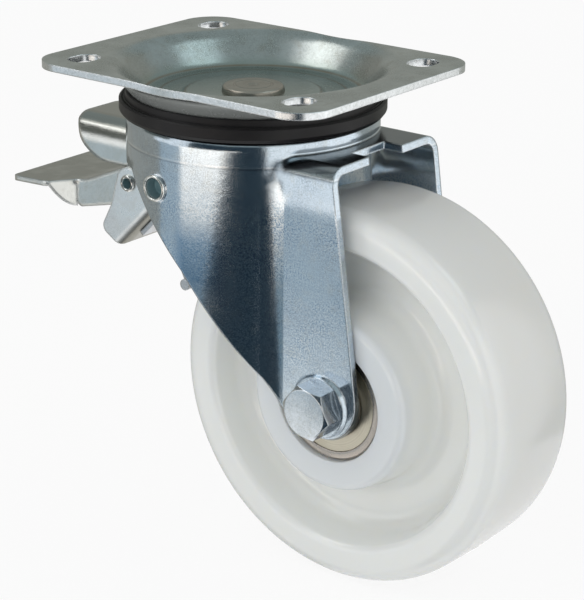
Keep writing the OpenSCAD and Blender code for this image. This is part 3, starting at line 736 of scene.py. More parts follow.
class Finishes:
    """The finishes of this castor, each built once."""

    def __init__(self) -> None:
        """Builds every finish."""
        lever: dict[str, Any] = dict(
            bright=(0.80, 0.80, 0.77),
            dull=(0.70, 0.70, 0.66),
            stain=(0.68, 0.67, 0.61),
            sparkle=0.2,
        )
        pale: dict[str, Any] = dict(
            bright=(0.93, 0.93, 0.90), dull=(0.83, 0.83, 0.79), stain=(0.80, 0.78, 0.70)
        )
        fastener: dict[str, Any] = dict(rough=0.22, sparkle=0.25, cloud_mm=6.0, edge_mm=0.4)
        bearing: dict[str, Any] = dict(centre_mm=AXLE, axis=Axis.ALONG_Y)
        self.sheet = DrawnFork(
            "zinc_fork",
            bright=(0.63, 0.71, 0.78),
            dull=(0.53, 0.61, 0.69),
            stain=(0.60, 0.64, 0.65),
            rough=0.15,
            rough_spread=0.08,
            sparkle=0.5,
            edge_mm=1.0,
        ).material()
        self.plate = DishedPlate(
            "zinc_plate",
            bright=(0.50, 0.535, 0.525),
            dull=(0.35, 0.375, 0.355),
            stain=(0.36, 0.36, 0.32),
            rough=0.25,
            sparkle=0.5,
        ).material()
        self.pedal = TopShadedZinc("zinc_pedal", rough=0.2, edge_mm=2.0, **lever).material()
        self.hood = TopShadedZinc("zinc_hood", rough=0.13, edge_mm=2.4, **lever).material()
        self.bracket = StampedBracket(
            "zinc_bracket",
            bright=(0.90, 0.93, 0.94),
            dull=(0.82, 0.84, 0.85),
            stain=(0.77, 0.78, 0.76),
            rough=0.3,
            sparkle=0.25,
            edge_mm=1.0,
        ).material()
        self.spring = PlatedSteel(
            "spring_leaf",
            bright=(0.58, 0.60, 0.62),
            dull=(0.46, 0.48, 0.50),
            stain=(0.44, 0.42, 0.38),
            rough=0.3,
        ).material()
        self.bolt = PlatedSteel(
            "zinc_bolt",
            bright=(0.74, 0.79, 0.84),
            dull=(0.66, 0.71, 0.75),
            stain=(0.66, 0.68, 0.67),
            **fastener,
        ).material()
        self.pivot = HollowZinc("zinc_pivot", **pale, **fastener).material()
        self.eyelet = HollowZinc(
            "zinc_eyelet", centre_mm=LINK, bore_r_mm=2.3, **pale, **fastener
        ).material()
        self.pin = TurnedSteel(
            "pin_steel", (0.46, 0.42, 0.36), (0.29, 0.25, 0.21), rough=0.33, ring_mm=0.5
        ).material()
        self.race = TurnedSteel(
            "race_steel", (0.52, 0.53, 0.54), (0.40, 0.40, 0.40), rough=0.3, ring_mm=0.4
        ).material()
        self.ball = TurnedSteel(
            "ball_steel", (0.78, 0.79, 0.80), (0.70, 0.71, 0.72), rough=0.12, ring_mm=1.0
        ).material()
        self.ring = TurnedSteel(
            "ring_steel",
            (0.60, 0.54, 0.49),
            (0.44, 0.40, 0.36),
            rough=0.25,
            ring_mm=0.35,
            **bearing,
        ).material()
        self.shield = TurnedSteel(
            "shield_steel",
            (0.84, 0.77, 0.63),
            (0.68, 0.61, 0.48),
            rough=0.36,
            ring_mm=0.5,
            **bearing,
        ).material()
        self.sleeve = TurnedSteel(
            "sleeve_steel",
            (0.40, 0.40, 0.38),
            (0.28, 0.28, 0.26),
            rough=0.3,
            ring_mm=0.4,
            **bearing,
        ).material()
        self.polyamide = Polyamide(
            "polyamide",
            tone=(0.83, 0.85, 0.84),
            shade=(0.815, 0.83, 0.81),
            # dust: painted warm shade in the wheel's recess
            dust=(0.83, 0.835, 0.80),
            speck=(0.42, 0.40, 0.36),
            rough=0.18,
        ).material()
        self.rubber = SealRubber(
            "seal_rubber", tone=(0.012, 0.011, 0.012), dust=(0.026, 0.023, 0.021), rough=0.42
        ).material()


# Modelling


def rounded(points: Sequence[Point], radii: Sequence[float], steps: int = 8) -> list[Point]:
    """Rounds the corners of a closed outline.

    Args:
        points: The corners, in order.
        radii: A radius for each corner, 0 for a sharp one.
        steps: How many edges a round has.

    Returns:
        The outline's points.
    """
    outline: list[Point] = []
    count = len(points)
    for index, radius in enumerate(radii):
        before, here, after = (Vector(points[(index + k) % count]) for k in (-1, 0, 1))
        back = (before - here).normalized()
        ahead = (after - here).normalized()
        half = back.angle(ahead) / 2 if radius else 0.0
        if not radius or half > math.pi / 2 - 1e-3:
            outline.append((here.x, here.y))
            continue
        reach = radius / math.tan(half)
        middle = here + (back + ahead).normalized() * (radius / math.sin(half))
        start, finish = here + back * reach - middle, here + ahead * reach - middle
        turn = start.angle_signed(finish)
        for step in range(steps + 1):
            spoke = start.copy()
            spoke.rotate(Matrix.Rotation(-turn * step / steps, 2))
            outline.append((middle.x + spoke.x, middle.y + spoke.y))
    return outline


class Bench:
    """The modelling operators, as used by hand, with sizes in millimetres."""

    @staticmethod
    def clear() -> None:
        """Leaves edit mode and deselects every object."""
        if bpy.context.mode != "OBJECT":
            bpy.ops.object.mode_set(mode="OBJECT")
        bpy.ops.object.select_all(action="DESELECT")

    @staticmethod
    def take(piece: bpy.types.Object) -> None:
        """Selects one piece alone and makes it the active one.

        Args:
            piece: The piece.
        """
        Bench.clear()
        piece.select_set(True)
        bpy.context.view_layer.objects.active = piece

    @staticmethod
    def chain(name: str, points: Sequence[Sequence[float]]) -> bpy.types.Object:
        """Draws a chain of edges by extruding one vertex from place to place.

        Args:
            name: The new piece's name.
            points: The places, in millimetres.

        Returns:
            The piece, in edit mode.
        """
        Bench.clear()
        bpy.ops.mesh.primitive_plane_add(size=MM, location=(0.0, 0.0, 0.0))
        piece = bpy.context.object
        piece.name = piece.data.name = name
        bpy.ops.object.mode_set(mode="EDIT")
        bpy.ops.mesh.select_all(action="SELECT")
        bpy.ops.mesh.merge(type="CENTER")
        places = [Vector(point) * MM for point in points]
        bpy.ops.transform.translate(value=places[0])
        for here, there in zip(places, places[1:]):
            bpy.ops.mesh.extrude_region_move(TRANSFORM_OT_translate={"value": there - here})
        return piece

    @staticmethod
    def closed() -> None:
        """Merges the doubles of the mesh in edit mode and turns its faces outwards."""
        bpy.ops.mesh.select_all(action="SELECT")
        bpy.ops.mesh.remove_doubles(threshold=1e-6)
        bpy.ops.mesh.normals_make_consistent(inside=False)

    @staticmethod
    def finished(piece: bpy.types.Object, angle: float = 32.0) -> bpy.types.Object:
        """Leaves edit mode and shades the piece smooth up to an angle.

        Args:
            piece: The piece.
            angle: The angle in degrees past which an edge stays sharp.

        Returns:
            The piece.
        """
        Bench.take(piece)
        bpy.ops.object.shade_smooth_by_angle(angle=math.radians(angle))
        piece.select_set(False)
        return piece

    @staticmethod
    def lathe(
        name: str,
        section: Sequence[Point],
        axis: Axis,
        centre: Sequence[float],
        steps: int = 96,
    ) -> bpy.types.Object:
        """Spins a closed section round an axis.

        Args:
            name: The piece's name.
            section: Radius and height of each point, in order.
            axis: The axis of the spin.
            centre: The point that heights are measured from.
            steps: How many steps a full turn has.

        Returns:
            The finished piece.
        """
        x, y, z = centre
        if axis is Axis.ALONG_Y:
            path = [(x + r, y + h, z) for r, h in section]
        else:
            path = [(x + r, y, z + h) for r, h in section]
        piece = Bench.chain(name, path + path[:1])
        bpy.ops.mesh.select_all(action="SELECT")
        bpy.ops.mesh.spin(
            steps=steps, angle=math.tau, center=Vector(centre) * MM, axis=axis.value
        )
        Bench.closed()
        return Bench.finished(piece)

    @staticmethod
    def prism(
        name: str, outline: Sequence[Sequence[float]], way: Sequence[float]
    ) -> bpy.types.Object:
        """Fills a flat outline and extrudes it.

        Args:
            name: The piece's name.
            outline: Its corners, in order.
            way: How far and which way it is extruded.

        Returns:
            The finished piece.
        """
        piece = Bench.chain(name, [*outline, outline[0]])
        Bench.closed()
        bpy.ops.mesh.edge_face_add()
        bpy.ops.mesh.extrude_region_move(TRANSFORM_OT_translate={"value": Vector(way) * MM})
        Bench.closed()
        return Bench.finished(piece)

    @staticmethod
    def applied(piece: bpy.types.Object, kind: str, **settings: Any) -> bpy.types.Object:
        """Adds a modifier to a piece and applies it.

        Args:
            piece: The piece.
            kind: The modifier's type.
            settings: Its settings.

        Returns:
            The piece.
        """
        Bench.take(piece)
        modifier = piece.modifiers.new(kind.lower(), kind)
        for key, value in settings.items():
            setattr(modifier, key, value)
        bpy.ops.object.modifier_apply(modifier=modifier.name)
        return piece

    @staticmethod
    def cut(piece: bpy.types.Object, blank: bpy.types.Object, operation: str) -> bpy.types.Object:
        """Cuts a piece with a blank, which is used up.

        Args:
            piece: The piece.
            blank: What it is cut with.
            operation: INTERSECT or DIFFERENCE.

        Returns:
            The finished piece.
        """
        Bench.applied(piece, "BOOLEAN", operation=operation, object=blank, solver="EXACT")
        bpy.data.objects.remove(blank)
        bpy.ops.object.mode_set(mode="EDIT")
        Bench.closed()
        return Bench.finished(piece)

    @staticmethod
    def copied(piece: bpy.types.Object, name: str, move: Matrix) -> bpy.types.Object:
        """Copies a piece with its own mesh.

        Args:
            piece: The piece to copy.
            name: The copy's name.
            move: How the copy is moved or mirrored, in metres.

        Returns:
            The finished copy, with its place in its mesh.
        """
        copy = bpy.data.objects.new(name, piece.data.copy())
        copy.data.name = name
        bpy.context.collection.objects.link(copy)
        copy.data.transform(move)
        Bench.take(copy)
        bpy.ops.object.mode_set(mode="EDIT")
        Bench.closed()
        return Bench.finished(copy)


def fit_out(
    piece: bpy.types.Object, body: Body, slot: Slot, look: bpy.types.Material, *nodes: str
) -> bpy.types.Object:
    """Gives a new piece its body and finish, and hides what it stands for.

    Args:
        piece: The new piece.
        body: The body that it rides on.
        slot: Its material slot; not used.
        look: Its finish.
        nodes: The CAD nodes that it replaces.

    Returns:
        The piece.
    """
    piece.data.materials.clear()
    piece.data.materials.append(look)
    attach(piece, body.value)
    if nodes:
        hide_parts(*nodes)
    LOG.info("%s rides on %s", piece.name, body.value)
    return piece


def dress(look: bpy.types.Material, *nodes: str) -> None:
    """Gives CAD nodes a finish.

    Args:
        look: The finish.
        nodes: The nodes' names.
    """
    for name in nodes:
        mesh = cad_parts[name].data
        mesh.materials.clear()
        mesh.materials.append(look)
        LOG.info("%s wears %s", name, look.name)


# Sub-assemblies


@dataclass
class SwivelHead:
    """The top plate with its dish, the king pin, the races and the dust seal."""

    pin_r: float = 8.0
    head_r: float = 12.3
    floor_z: float = -11.7
    head_h: float = 2.4
    race_under: float = -32.2
    foot_z: float = -35.2
    flange_r: float = 12.0
    head_lip: float = 0.4
    head_fall: float = 0.1
    dimple_r: float = 2.6
    dimple_foot_r: float = 1.6
    dimple_d: float = 0.7
    ring_radii: tuple[float, float, float] = (6.6, 7.3, 8.1)
    ring_d: float = 0.35

    def king_pin(self, looks: Finishes) -> None:
        """Turns the king pin, with the ring that the riveting tool leaves in its head."""
        top = self.floor_z + self.head_h
        ring_in, ring_mid, ring_out = self.ring_radii
        section = rounded(
            [
                (0.0, top - self.dimple_d),
                (self.dimple_foot_r, top - self.dimple_d),
                (self.dimple_r, top - self.head_fall),
                (ring_in, top),
                (ring_mid, top - self.ring_d),
                (ring_out, top),
                (self.head_r - self.head_lip, top - self.head_fall),
                (self.head_r, self.floor_z),
                (self.pin_r, self.floor_z),
                (self.pin_r, self.race_under),
                (self.flange_r, self.race_under),
                (self.flange_r, self.foot_z),
                (0.0, self.foot_z),
            ],
            [0, 0.5, 0.6, 0.5, 0.4, 0.5, 1.3, 0, 0, 0, 0.5, 0.8, 0],
            6,
        )
        pin = Bench.lathe("king_pin_head", section, Axis.ALONG_Z, SWIVEL, 80)
        fit_out(pin, Body.PLATE, Slot.RACE_STEEL, looks.pin, "king_pin")

    def build(self, looks: Finishes) -> None:
        """Builds and dresses the head."""
        dress(looks.plate, "top_plate")
        self.king_pin(looks)
        dress(looks.race, "lower_race", "lock_ring")
        dress(looks.ball, "upper_balls", "lower_balls")
        dress(looks.rubber, "dust_seal")


@dataclass
class ForkFrame:
    """The pressed fork, the lever's pivot pin, and the axle bolt with its nut and washer."""

    pivot_r: float = 4.25
    pivot_half: float = 49.62
    pivot_flange: float = 1.2
    pivot_lip_r: float = 5.2
    pivot_hole_r: float = 3.8
    pivot_hole_h: float = 5.5
    bolt_r: float = 6.0
    hex_af: float = 19.0
    head_turn: float = 50.0
    seat_y: float = 35.12
    head_h: float = 8.4
    washer_r: float = 12.0
    washer_t: float = 2.46
    nut_h: float = 10.0
    bolt_end: float = 50.6
    pitch: float = 1.75
    core_d: float = 0.95
    tip: float = 0.6
    head_land: float = 0.25
    nut_land: float = 0.1
    # How far a chamfer runs in for each millimetre that it rises
    chamfer_run: float = 1.73

    def pivot_pin(self, looks: Finishes) -> None:
        """Turns the pivot pin with its two hollow, rolled-over ends."""
        end = self.pivot_half + self.pivot_flange
        floor = end - self.pivot_hole_h
        half = [
            (0.0, floor - 0.5),
            (1.2, floor - 0.2),
            (self.pivot_hole_r, floor),
            (self.pivot_hole_r, end - 1.2),
            (self.pivot_hole_r + 0.35, end),
            (self.pivot_lip_r, end),
            (self.pivot_lip_r, self.pivot_half),
            (self.pivot_r, self.pivot_half),
        ]
        bends = [0, 0, 0.6, 0.8, 0.5, 0.75, 0.2, 0]
        corners = [(r, -h) for r, h in half] + half[::-1]
        section = rounded(corners, bends + bends[::-1], 6)
        pin = Bench.lathe("pivot_pin", section, Axis.ALONG_Y, PIVOT, 56)
        fit_out(pin, Body.FORK, Slot.ZINC_BOLT, looks.pivot, "lever_pivot")

    def hexagon(self, turn: float, y: float) -> list[tuple[float, float, float]]:
        """The corners of a bolt head or a nut.

        Args:
            turn: The angle of its first corner in degrees.
            y: Where its face lies along the axle.

        Returns:
            The six corners.
        """
        reach = self.hex_af / 2 / math.cos(math.pi / 6)
        angles = [math.radians(turn + 60.0 * k) for k in range(6)]
        x, _, z = AXLE
        return [(x + reach * math.cos(a), y, z + reach * math.sin(a)) for a in angles]

    def bolt_head(self, looks: Finishes) -> None:
        """Makes the bolt's head: a plain hexagon, chamfered round its face."""
        front = self.seat_y + self.head_h
        head = Bench.prism(
            "axle_bolt_head", self.hexagon(self.head_turn, -self.seat_y), (0.0, -self.head_h, 0.0)
        )
        flat_r = self.hex_af / 2 - self.head_land
        section = [
            (0.0, -front),
            (flat_r, -front),
            (flat_r + self.head_h * self.chamfer_run, -self.seat_y),
            (0.0, -self.seat_y),
        ]
        blank = Bench.lathe(
            "head_blank", rounded(section, [0, 0.8, 0, 0], 4), Axis.ALONG_Y, AXLE, 72
        )
        Bench.cut(head, blank, "INTERSECT")
        fit_out(head, Body.FORK, Slot.ZINC_BOLT, looks.bolt, "axle_bolt")

    def bolt_shank(self, looks: Finishes) -> None:
        """Turns the bolt's shank, down to the thread's core at its far end."""
        core = self.bolt_r - self.core_d
        plain_end = self.seat_y + self.washer_t
        section = [
            (0.0, -self.seat_y),
            (self.bolt_r, -self.seat_y),
            (self.bolt_r, plain_end),
            (core, plain_end + 1.0),
            (core, self.bolt_end - self.tip),
            (core - self.tip, self.bolt_end),
            (0.0, self.bolt_end),
        ]
        shank = Bench.lathe("axle_bolt_shank", section, Axis.ALONG_Y, AXLE, 48)
        fit_out(shank, Body.FORK, Slot.ZINC_BOLT, looks.bolt)

    def bolt_thread(self, looks: Finishes) -> None:
        """Winds the thread that stands out of the nut."""
        turns = 4
        steps = 36
        root = self.bolt_r - 1.3
        foot = self.bolt_r - 0.92
        top = self.bolt_r - 0.06
        start = self.bolt_end - 1.0 - (turns + 1) * self.pitch
        ridge = [
            (root, 0.0),
            (foot, 0.0),
            (top, self.pitch * 0.42),
            (top, self.pitch * 0.58),
            (foot, self.pitch),
            (root, self.pitch),
        ]
        path = [(r, start + h, 0.0) for r, h in ridge + ridge[:1]]
        thread = Bench.chain("axle_bolt_thread", path)
        Bench.closed()
        Bench.clear()
        Bench.applied(
            thread,
            "SCREW",
            axis="Y",
            screw_offset=self.pitch * MM,
            iterations=turns,
            steps=steps,
            render_steps=steps,
        )
        bpy.ops.object.mode_set(mode="EDIT")
        bpy.ops.mesh.select_all(action="DESELECT")
        bpy.ops.mesh.select_non_manifold()
        bpy.ops.mesh.fill()
        Bench.closed()
        bpy.ops.transform.translate(value=Vector(AXLE) * MM)
        Bench.finished(thread)
        fit_out(thread, Body.FORK, Slot.ZINC_BOLT, looks.bolt)

    def nut(self, looks: Finishes) -> None:
        """Makes the nut, chamfered at both ends."""
        near = self.seat_y + self.washer_t + 0.04
        far = near + self.nut_h
        nut = Bench.prism("axle_nut_hex", self.hexagon(0.0, near), (0.0, self.nut_h, 0.0))
        flat_r = self.hex_af / 2 - self.nut_land
        wide = self.hex_af / math.sqrt(3) + 1.0
        rise = (wide - flat_r) / self.chamfer_run
        bore_r = self.bolt_r + 0.02
        mouth_r, mouth_d = self.bolt_r + 0.9, 0.9
        section = [
            (mouth_r, near),
            (flat_r, near),
            (wide, near + rise),
            (wide, far - rise),
            (flat_r, far),
            (mouth_r, far),
            (bore_r, far - mouth_d),
            (bore_r, near + mouth_d),
        ]
        blank = Bench.lathe("nut_blank", section, Axis.ALONG_Y, AXLE, 72)
        Bench.cut(nut, blank, "INTERSECT")
        fit_out(nut, Body.FORK, Slot.ZINC_BOLT, looks.bolt, "axle_nut")

    def washer(self, looks: Finishes) -> None:
        """Turns the washer under the nut, with the round edge that stamping leaves."""
        hole_r = self.bolt_r + 0.1
        section = rounded(
            [
                (hole_r, self.seat_y),
                (self.washer_r, self.seat_y),
                (self.washer_r, self.seat_y + self.washer_t),
                (hole_r, self.seat_y + self.washer_t),
            ],
            [0, 0.3, 0.7, 0],
            5,
        )
        ring = Bench.lathe("axle_washer", section, Axis.ALONG_Y, AXLE, 72)
        fit_out(ring, Body.FORK, Slot.ZINC_BOLT, looks.bolt, "nut_washer")

    def build(self, looks: Finishes) -> None:
        """Builds and dresses the fork."""
        dress(looks.sheet, "fork")
        self.pivot_pin(looks)
        self.bolt_head(looks)
        self.bolt_shank(looks)
        self.bolt_thread(looks)
        self.nut(looks)
        self.washer(looks)
        dress(looks.sleeve, "axle_sleeve", "distance_tube", "near_spacer", "far_spacer")
        dress(looks.ring, "near_inner_ring", "far_inner_ring")


@dataclass
class RoadWheel:
    """The moulded wheel and its two ball bearings."""

    wheel_r: float = 75.47
    half_w: float = 25.0
    hub_half: float = 29.5
    hub_r: float = 35.0
    web_half: float = 9.0
    rim_inner_r: float = 60.0
    crown: float = 0.6
    bearing_r: float = 23.5
    bearing_in: float = 13.48
    bearing_out: float = 27.5
    ring_in_r: float = 19.9
    hub_draft: float = 3.0
    rim_draft: float = 4.0
    seat_lip: float = 4.0
    play: float = 0.02

    def tyre(self, looks: Finishes) -> None:
        """Spins the wheel's section, with its rounded shoulders and its dished sides."""
        side = [
            (self.bearing_r, self.hub_half),
            (self.hub_r, self.hub_half),
            (self.hub_r + self.hub_draft, self.web_half),
            (self.rim_inner_r - self.rim_draft, self.web_half),
            (self.rim_inner_r, self.half_w),
            (self.wheel_r - self.crown, self.half_w),
        ]
        bends = [0.6, 3, 7, 8, 3.5, 7]
        lip_r = self.bearing_r - self.seat_lip
        seat = [(lip_r, self.bearing_in), (self.bearing_r, self.bearing_in)]
        corners = (
            seat
            + side
            + [(self.wheel_r, 0.0)]
            + [(r, -h) for r, h in reversed(side)]
            + [(r, -h) for r, h in reversed(seat)]
        )
        radii = [0, 0] + bends + [0] + bends[::-1] + [0, 0]
        section = rounded(corners, radii, 10)
        wheel = Bench.lathe("moulded_wheel", section, Axis.ALONG_Y, AXLE, 160)
        fit_out(wheel, Body.WHEEL, Slot.POLYAMIDE, looks.polyamide, "wheel")

    def outer_rings(self, looks: Finishes) -> None:
        """Turns a bearing's outer ring, with its chamfers, once and mirrors it."""
        rim = self.bearing_r - self.play
        inner = -self.bearing_in - self.play
        section = rounded(
            [
                (self.ring_in_r, -self.bearing_out),
                (rim, -self.bearing_out),
                (rim, inner),
                (self.ring_in_r, inner),
            ],
            [0.5, 1.0, 1.0, 0.5],
            5,
        )
        near = Bench.lathe("near_bearing_ring", section, Axis.ALONG_Y, AXLE, 96)
        far = Bench.copied(near, "far_bearing_ring", MIRROR)
        fit_out(near, Body.WHEEL, Slot.RING_STEEL, looks.ring, "near_outer_ring")
        fit_out(far, Body.WHEEL, Slot.RING_STEEL, looks.ring, "far_outer_ring")

    def build(self, looks: Finishes) -> None:
        """Builds and dresses the wheel."""
        self.tyre(looks)
        self.outer_rings(looks)
        dress(looks.ball, "near_balls", "far_balls")
        dress(looks.shield, "near_shields", "far_shields")


@dataclass
class BrakeLever:
    """The foot lever: its tread, its release hood, its pawl and its link rivets."""

    rivet_r: float = 2.5
    rivet_hole_r: float = 2.1
    rivet_head_r: float = 3.5
    rivet_head_t: float = 1.3
    rivet_in: float = 17.98
    rivet_out: float = 22.9

    def link_rivets(self, looks: Finishes) -> None:
        """Turns a hollow rivet with rolled heads once and mirrors it."""
        tip = self.rivet_out + self.rivet_head_t
        tail = self.rivet_in - self.rivet_head_t
        section = rounded(
            [
                (self.rivet_hole_r, -tip),
                (self.rivet_head_r, -tip),
                (self.rivet_head_r, -self.rivet_out),
                (self.rivet_r, -self.rivet_out),
                (self.rivet_r, -self.rivet_in),
                (self.rivet_head_r, -self.rivet_in),
                (self.rivet_head_r, -tail),
                (self.rivet_hole_r, -tail),
            ],
            [0.7, 0.9, 0.2, 0, 0, 0.2, 0.9, 0.5],
            6,
        )
        near = Bench.lathe("near_link_rivet", section, Axis.ALONG_Y, LINK, 48)
        far = Bench.copied(near, "far_link_rivet", MIRROR)
        fit_out(near, Body.LEVER, Slot.ZINC_BOLT, looks.eyelet, "link_rivets")
        fit_out(far, Body.LEVER, Slot.ZINC_BOLT, looks.eyelet)

    def build(self, looks: Finishes) -> None:
        """Builds and dresses the lever."""
        dress(looks.pedal, "brake_pedal")
        dress(looks.hood, "release_hood")
        dress(looks.race, "lock_pawl")
        self.link_rivets(looks)


@dataclass
class BrakeShoe:
    """The shoe's bracket, its spring leaf and the rivets between them."""

    rivet_at: Point = (-39.015, -69.515)
    rivet_y: float = 9.0
    rivet_r: float = 2.0
    rivet_head_r: float = 3.6
    rivet_head_h: float = 1.4
    bracket_t: float = 2.5
    leaf_t: float = 2.0
    lean: float = 135.0
    bracket_play: float = 0.02
    leaf_play: float = 0.04

    def leaf_rivets(self, looks: Finishes) -> None:
        """Turns a round-headed rivet once and copies it."""
        low = -self.bracket_t - self.rivet_head_h
        high = self.leaf_t + self.rivet_head_h
        under = -self.bracket_t - self.bracket_play
        over = self.leaf_t + self.leaf_play
        section = rounded(
            [
                (0.0, low),
                (self.rivet_head_r, low),
                (self.rivet_head_r, under),
                (self.rivet_r, under),
                (self.rivet_r, over),
                (self.rivet_head_r, over),
                (self.rivet_head_r, high),
                (0.0, high),
            ],
            [0, 1.2, 0.1, 0, 0, 0.1, 1.2, 0],
            6,
        )
        blank = Bench.lathe("rivet_blank", section, Axis.ALONG_Z, SWIVEL, 36)
        turn = Matrix.Rotation(math.radians(self.lean), 4, "Y")
        x, z = self.rivet_at
        for side, name in ((-1.0, "near_leaf_rivet"), (1.0, "far_leaf_rivet")):
            place = Matrix.Translation(Vector((x, side * self.rivet_y, z)) * MM)
            rivet = Bench.copied(blank, name, place @ turn)
            nodes = ("leaf_rivets",) if side < 0 else ()
            fit_out(rivet, Body.SHOE, Slot.ZINC_BOLT, looks.bolt, *nodes)
        bpy.data.objects.remove(blank)

    def build(self, looks: Finishes) -> None:
        """Builds and dresses the shoe."""
        dress(looks.bracket, "shoe_bracket")
        dress(looks.spring, "brake_leaf")
        self.leaf_rivets(looks)


@dataclass(frozen=True)
class Card:
    """A studio card that shows only in reflections: where it stands and how bright it is."""

    name: str
    azimuth: Point
    elevation: Point
    light: Colour
    low_light: Colour | None = None
    low_azimuth: Point | None = None
    fade: Point = (0.0, 1.0)
    distance: float = 2.0


@dataclass(frozen=True)
class Lamp:
    """A soft square lamp: its place and side in metres, its power and its colour."""

    name: str
    place: Place
    size: float
    watts: float
    tint: Colour


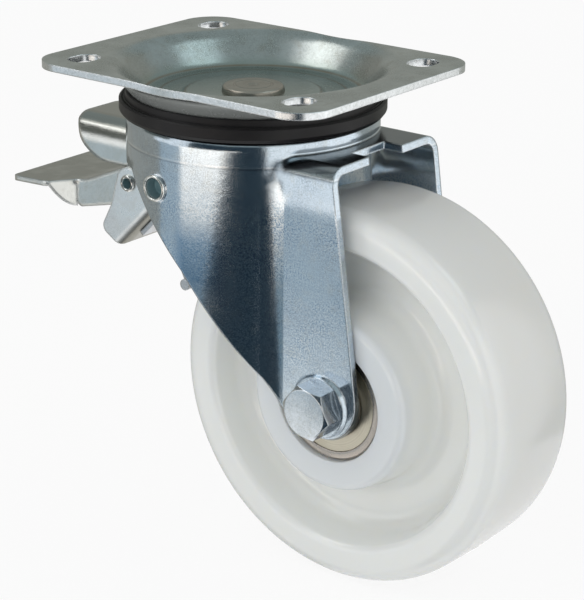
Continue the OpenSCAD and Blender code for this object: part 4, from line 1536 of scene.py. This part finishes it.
@dataclass
class Studio:
    """The camera, the pale floor, the lamps and the cards round the object."""

    eye: Place = (503.7, -622.9, 189.7)
    azimuth: float = 37.848
    tilt: float = 19.749
    roll: float = 0.41
    focal_px: float = 2125.66
    frame_px: float = 600.0
    sensor_mm: float = 36.0
    ambient: float = 0.66
    aim: Place = (0.03, 0.0, -0.08)
    lamps: tuple[Lamp, ...] = (
        Lamp("window_lamp", (-0.5, -0.9, 0.75), 0.9, 0.9, (1.0, 1.0, 0.99)),
        Lamp("sky_lamp", (0.75, 0.3, 1.0), 0.9, 0.3, (0.97, 0.99, 1.0)),
        Lamp("fill_lamp", (0.3, -1.1, 0.0), 0.8, 3.6, (1.0, 1.0, 0.99)),
    )
    cards: tuple[Card, ...] = (
        Card("card_camera", (-112.0, -40.0), (-70.0, 28.0), (0.027, 0.044, 0.058)),
        Card(
            "card_strip",
            (-116.0, -60.0),
            (-35.0, -10.0),
            (1.75, 1.6, 1.45),
            low_azimuth=(-116.0, -115.0),
            low_light=(0.2, 0.28, 0.33),
            fade=(-0.246, -0.169),
            distance=0.6,
        ),
        Card("card_left", (-142.0, -112.0), (-24.0, 28.0), (0.42, 0.50, 0.55)),
        Card("card_sill", (-142.0, -112.0), (-60.0, -24.0), (0.98, 0.98, 0.96)),
        Card("card_ledge", (-146.0, -131.0), (-9.0, 9.0), (0.95, 0.98, 1.0), distance=1.9),
        Card("card_reveal", (-131.0, -110.0), (-13.0, 62.0), (0.95, 0.98, 1.0), distance=1.9),
        Card("card_lintel", (-166.0, -131.0), (9.0, 38.0), (0.10, 0.11, 0.10), distance=1.9),
        Card("card_corner", (-208.0, -142.0), (-60.0, 28.0), (0.34, 0.34, 0.31)),
        Card("card_back", (56.0, 152.0), (-30.0, 28.0), (0.38, 0.39, 0.36)),
        Card("card_side", (-40.0, 18.0), (-60.0, 28.0), (1.05, 1.06, 1.05)),
        Card("card_rear", (18.0, 56.0), (-60.0, 28.0), (1.15, 1.16, 1.15)),
        Card("card_roof", (-180.0, 180.0), (28.0, 89.0), (0.36, 0.42, 0.43)),
        Card("card_window", (-166.0, -122.0), (38.0, 60.0), (2.1, 2.12, 2.1), distance=1.8),
        Card("card_skylight", (4.0, 46.0), (44.0, 67.0), (1.1, 1.34, 1.42), distance=1.8),
    )

    def camera(self) -> None:
        """Sets the camera where the photograph was taken from."""
        a, e, r = (math.radians(part) for part in (self.azimuth, self.tilt, self.roll))
        back = Vector((math.sin(a) * math.cos(e), -math.cos(a) * math.cos(e), math.sin(e)))
        right = Vector((math.cos(a), math.sin(a), 0.0))
        up = right.cross(-back)
        across = math.cos(r) * right + math.sin(r) * up
        upward = -math.sin(r) * right + math.cos(r) * up
        lens = bpy.data.cameras.new("photo_camera")
        lens.sensor_fit = "VERTICAL"
        lens.sensor_height = self.sensor_mm
        lens.lens = self.focal_px * self.sensor_mm / self.frame_px
        lens.clip_start = 0.05
        camera = bpy.data.objects.new("photo_camera", lens)
        turn = Matrix((across, upward, back)).transposed().to_4x4()
        camera.matrix_world = Matrix.Translation(Vector(self.eye) * MM) @ turn
        bpy.context.collection.objects.link(camera)
        bpy.context.scene.camera = camera

    def floor(self, level: float) -> None:
        """Lays a pale floor that the object throws its shadow on.

        Args:
            level: The floor's height in metres.
        """
        Bench.clear()
        bpy.ops.mesh.primitive_plane_add(size=30.0, location=(0.0, 0.0, level))
        floor = bpy.context.object
        floor.name = "studio_floor"
        sh = Shader("floor_paper")
        tone = sh.mix(sh.noise(300.0), (0.9, 0.9, 0.9), (0.88, 0.88, 0.88))
        sh.feed(Base_Color=tone, Roughness=0.9)
        seen = sh.add("ShaderNodeLightPath", {}, {}, "Is Camera Ray")
        glow = sh.add("ShaderNodeEmission", {}, {"Color": (1.0, 1.0, 1.0, 1.0), "Strength": 1.0})
        paper = Sock(sh.tree, sh.surface.outputs[0])
        mixed = sh.add("ShaderNodeMixShader", {}, {0: seen * 0.9, 1: paper, 2: glow})
        output = next(n for n in sh.tree.nodes if n.type == "OUTPUT_MATERIAL")
        sh.tree.links.new(mixed.socket, output.inputs["Surface"])
        floor.data.materials.append(sh.material)
        floor.visible_glossy = False
        floor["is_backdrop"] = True

    def card(self, card: Card) -> None:
        """Stands one card that is seen only in reflections.

        Args:
            card: The card.
        """
        Bench.clear()
        bpy.ops.mesh.primitive_plane_add(size=2.0, location=(0.0, 0.0, 0.0))
        panel = bpy.context.object
        panel.name = card.name
        bpy.ops.object.mode_set(mode="EDIT")
        bpy.ops.mesh.select_all(action="SELECT")
        bpy.ops.mesh.subdivide(number_cuts=31)
        bpy.ops.object.mode_set(mode="OBJECT")
        foot = card.low_azimuth or card.azimuth
        for vertex in panel.data.vertices:
            along, up = (vertex.co.x + 1) / 2, (vertex.co.y + 1) / 2
            start, end = (low + up * (high - low) for low, high in zip(foot, card.azimuth))
            turn = math.radians(start + along * (end - start))
            low, high = card.elevation
            rise = math.radians(low + up * (high - low))
            reach = card.distance * math.cos(rise)
            vertex.co = (
                reach * math.cos(turn),
                reach * math.sin(turn),
                card.distance * math.sin(rise),
            )
        sh = Shader(card.name)
        light: Any = (*card.light, 1.0)
        if card.low_light is not None:
            low, high = card.fade
            height = sh.add("ShaderNodeSeparateXYZ", {}, {0: sh.place}, 2)
            light = sh.mix(height.ramp(low, high - low), card.low_light, card.light)
        sh.feed(Base_Color=(0, 0, 0, 1), Emission_Color=light, Emission_Strength=1.0)
        sh.feed(Specular_IOR_Level=0.0)
        panel.data.materials.append(sh.material)
        panel.visible_camera = False
        panel.visible_diffuse = False
        panel.visible_shadow = False
        panel.visible_transmission = False
        panel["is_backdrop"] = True

    def lamp(self, lamp: Lamp) -> None:
        """Hangs one lamp that looks at the wheel.

        Args:
            lamp: The lamp.
        """
        light = bpy.data.lights.new(lamp.name, "AREA")
        light.shape = "SQUARE"
        light.size = lamp.size
        light.energy = lamp.watts
        light.color = lamp.tint
        hung = bpy.data.objects.new(lamp.name, light)
        way = Vector(self.aim) - Vector(lamp.place)
        turn = way.to_track_quat("-Z", "Y").to_matrix().to_4x4()
        hung.matrix_world = Matrix.Translation(lamp.place) @ turn
        hung.visible_glossy = False
        bpy.context.collection.objects.link(hung)

    def world(self) -> None:
        """Fills the room with soft light, and shows the background as white."""
        world = bpy.data.worlds.new("studio")
        bpy.context.scene.world = world
        world.use_nodes = True
        tree = world.node_tree
        tree.nodes.clear()
        path = tree.nodes.new("ShaderNodeLightPath")
        seen = (
            Sock(tree, path.outputs["Is Camera Ray"])
            + Sock(tree, path.outputs["Is Glossy Ray"])
            + Sock(tree, path.outputs["Is Transmission Ray"])
        ).clipped()
        ground = tree.nodes.new("ShaderNodeBackground")
        ground.inputs["Color"].default_value = (1.0, 1.0, 1.0, 1.0)
        strength = self.ambient + seen * (1.0 - self.ambient)
        tree.links.new(strength.socket, ground.inputs["Strength"])
        output = tree.nodes.new("ShaderNodeOutputWorld")
        tree.links.new(ground.outputs[0], output.inputs["Surface"])

    def build(self, level: float) -> None:
        """Sets up the whole studio.

        Args:
            level: The floor's height in metres.
        """
        self.camera()
        self.floor(level)
        for card in self.cards:
            self.card(card)
        self.world()
        for lamp in self.lamps:
            self.lamp(lamp)
        bpy.context.scene.view_settings.view_transform = "Standard"


def main() -> None:
    """Builds the castor's looks and its studio, with the floor at the foot of the drawn parts."""
    logging.basicConfig(level=logging.INFO, format="%(name)s: %(message)s")
    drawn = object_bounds()
    looks = Finishes()
    for assembly in (SwivelHead(), ForkFrame(), RoadWheel(), BrakeLever(), BrakeShoe()):
        assembly.build(looks)
        LOG.info("%s is built", type(assembly).__name__)
    Studio().build(drawn[0][2])


if __name__ == "__main__":
    main()
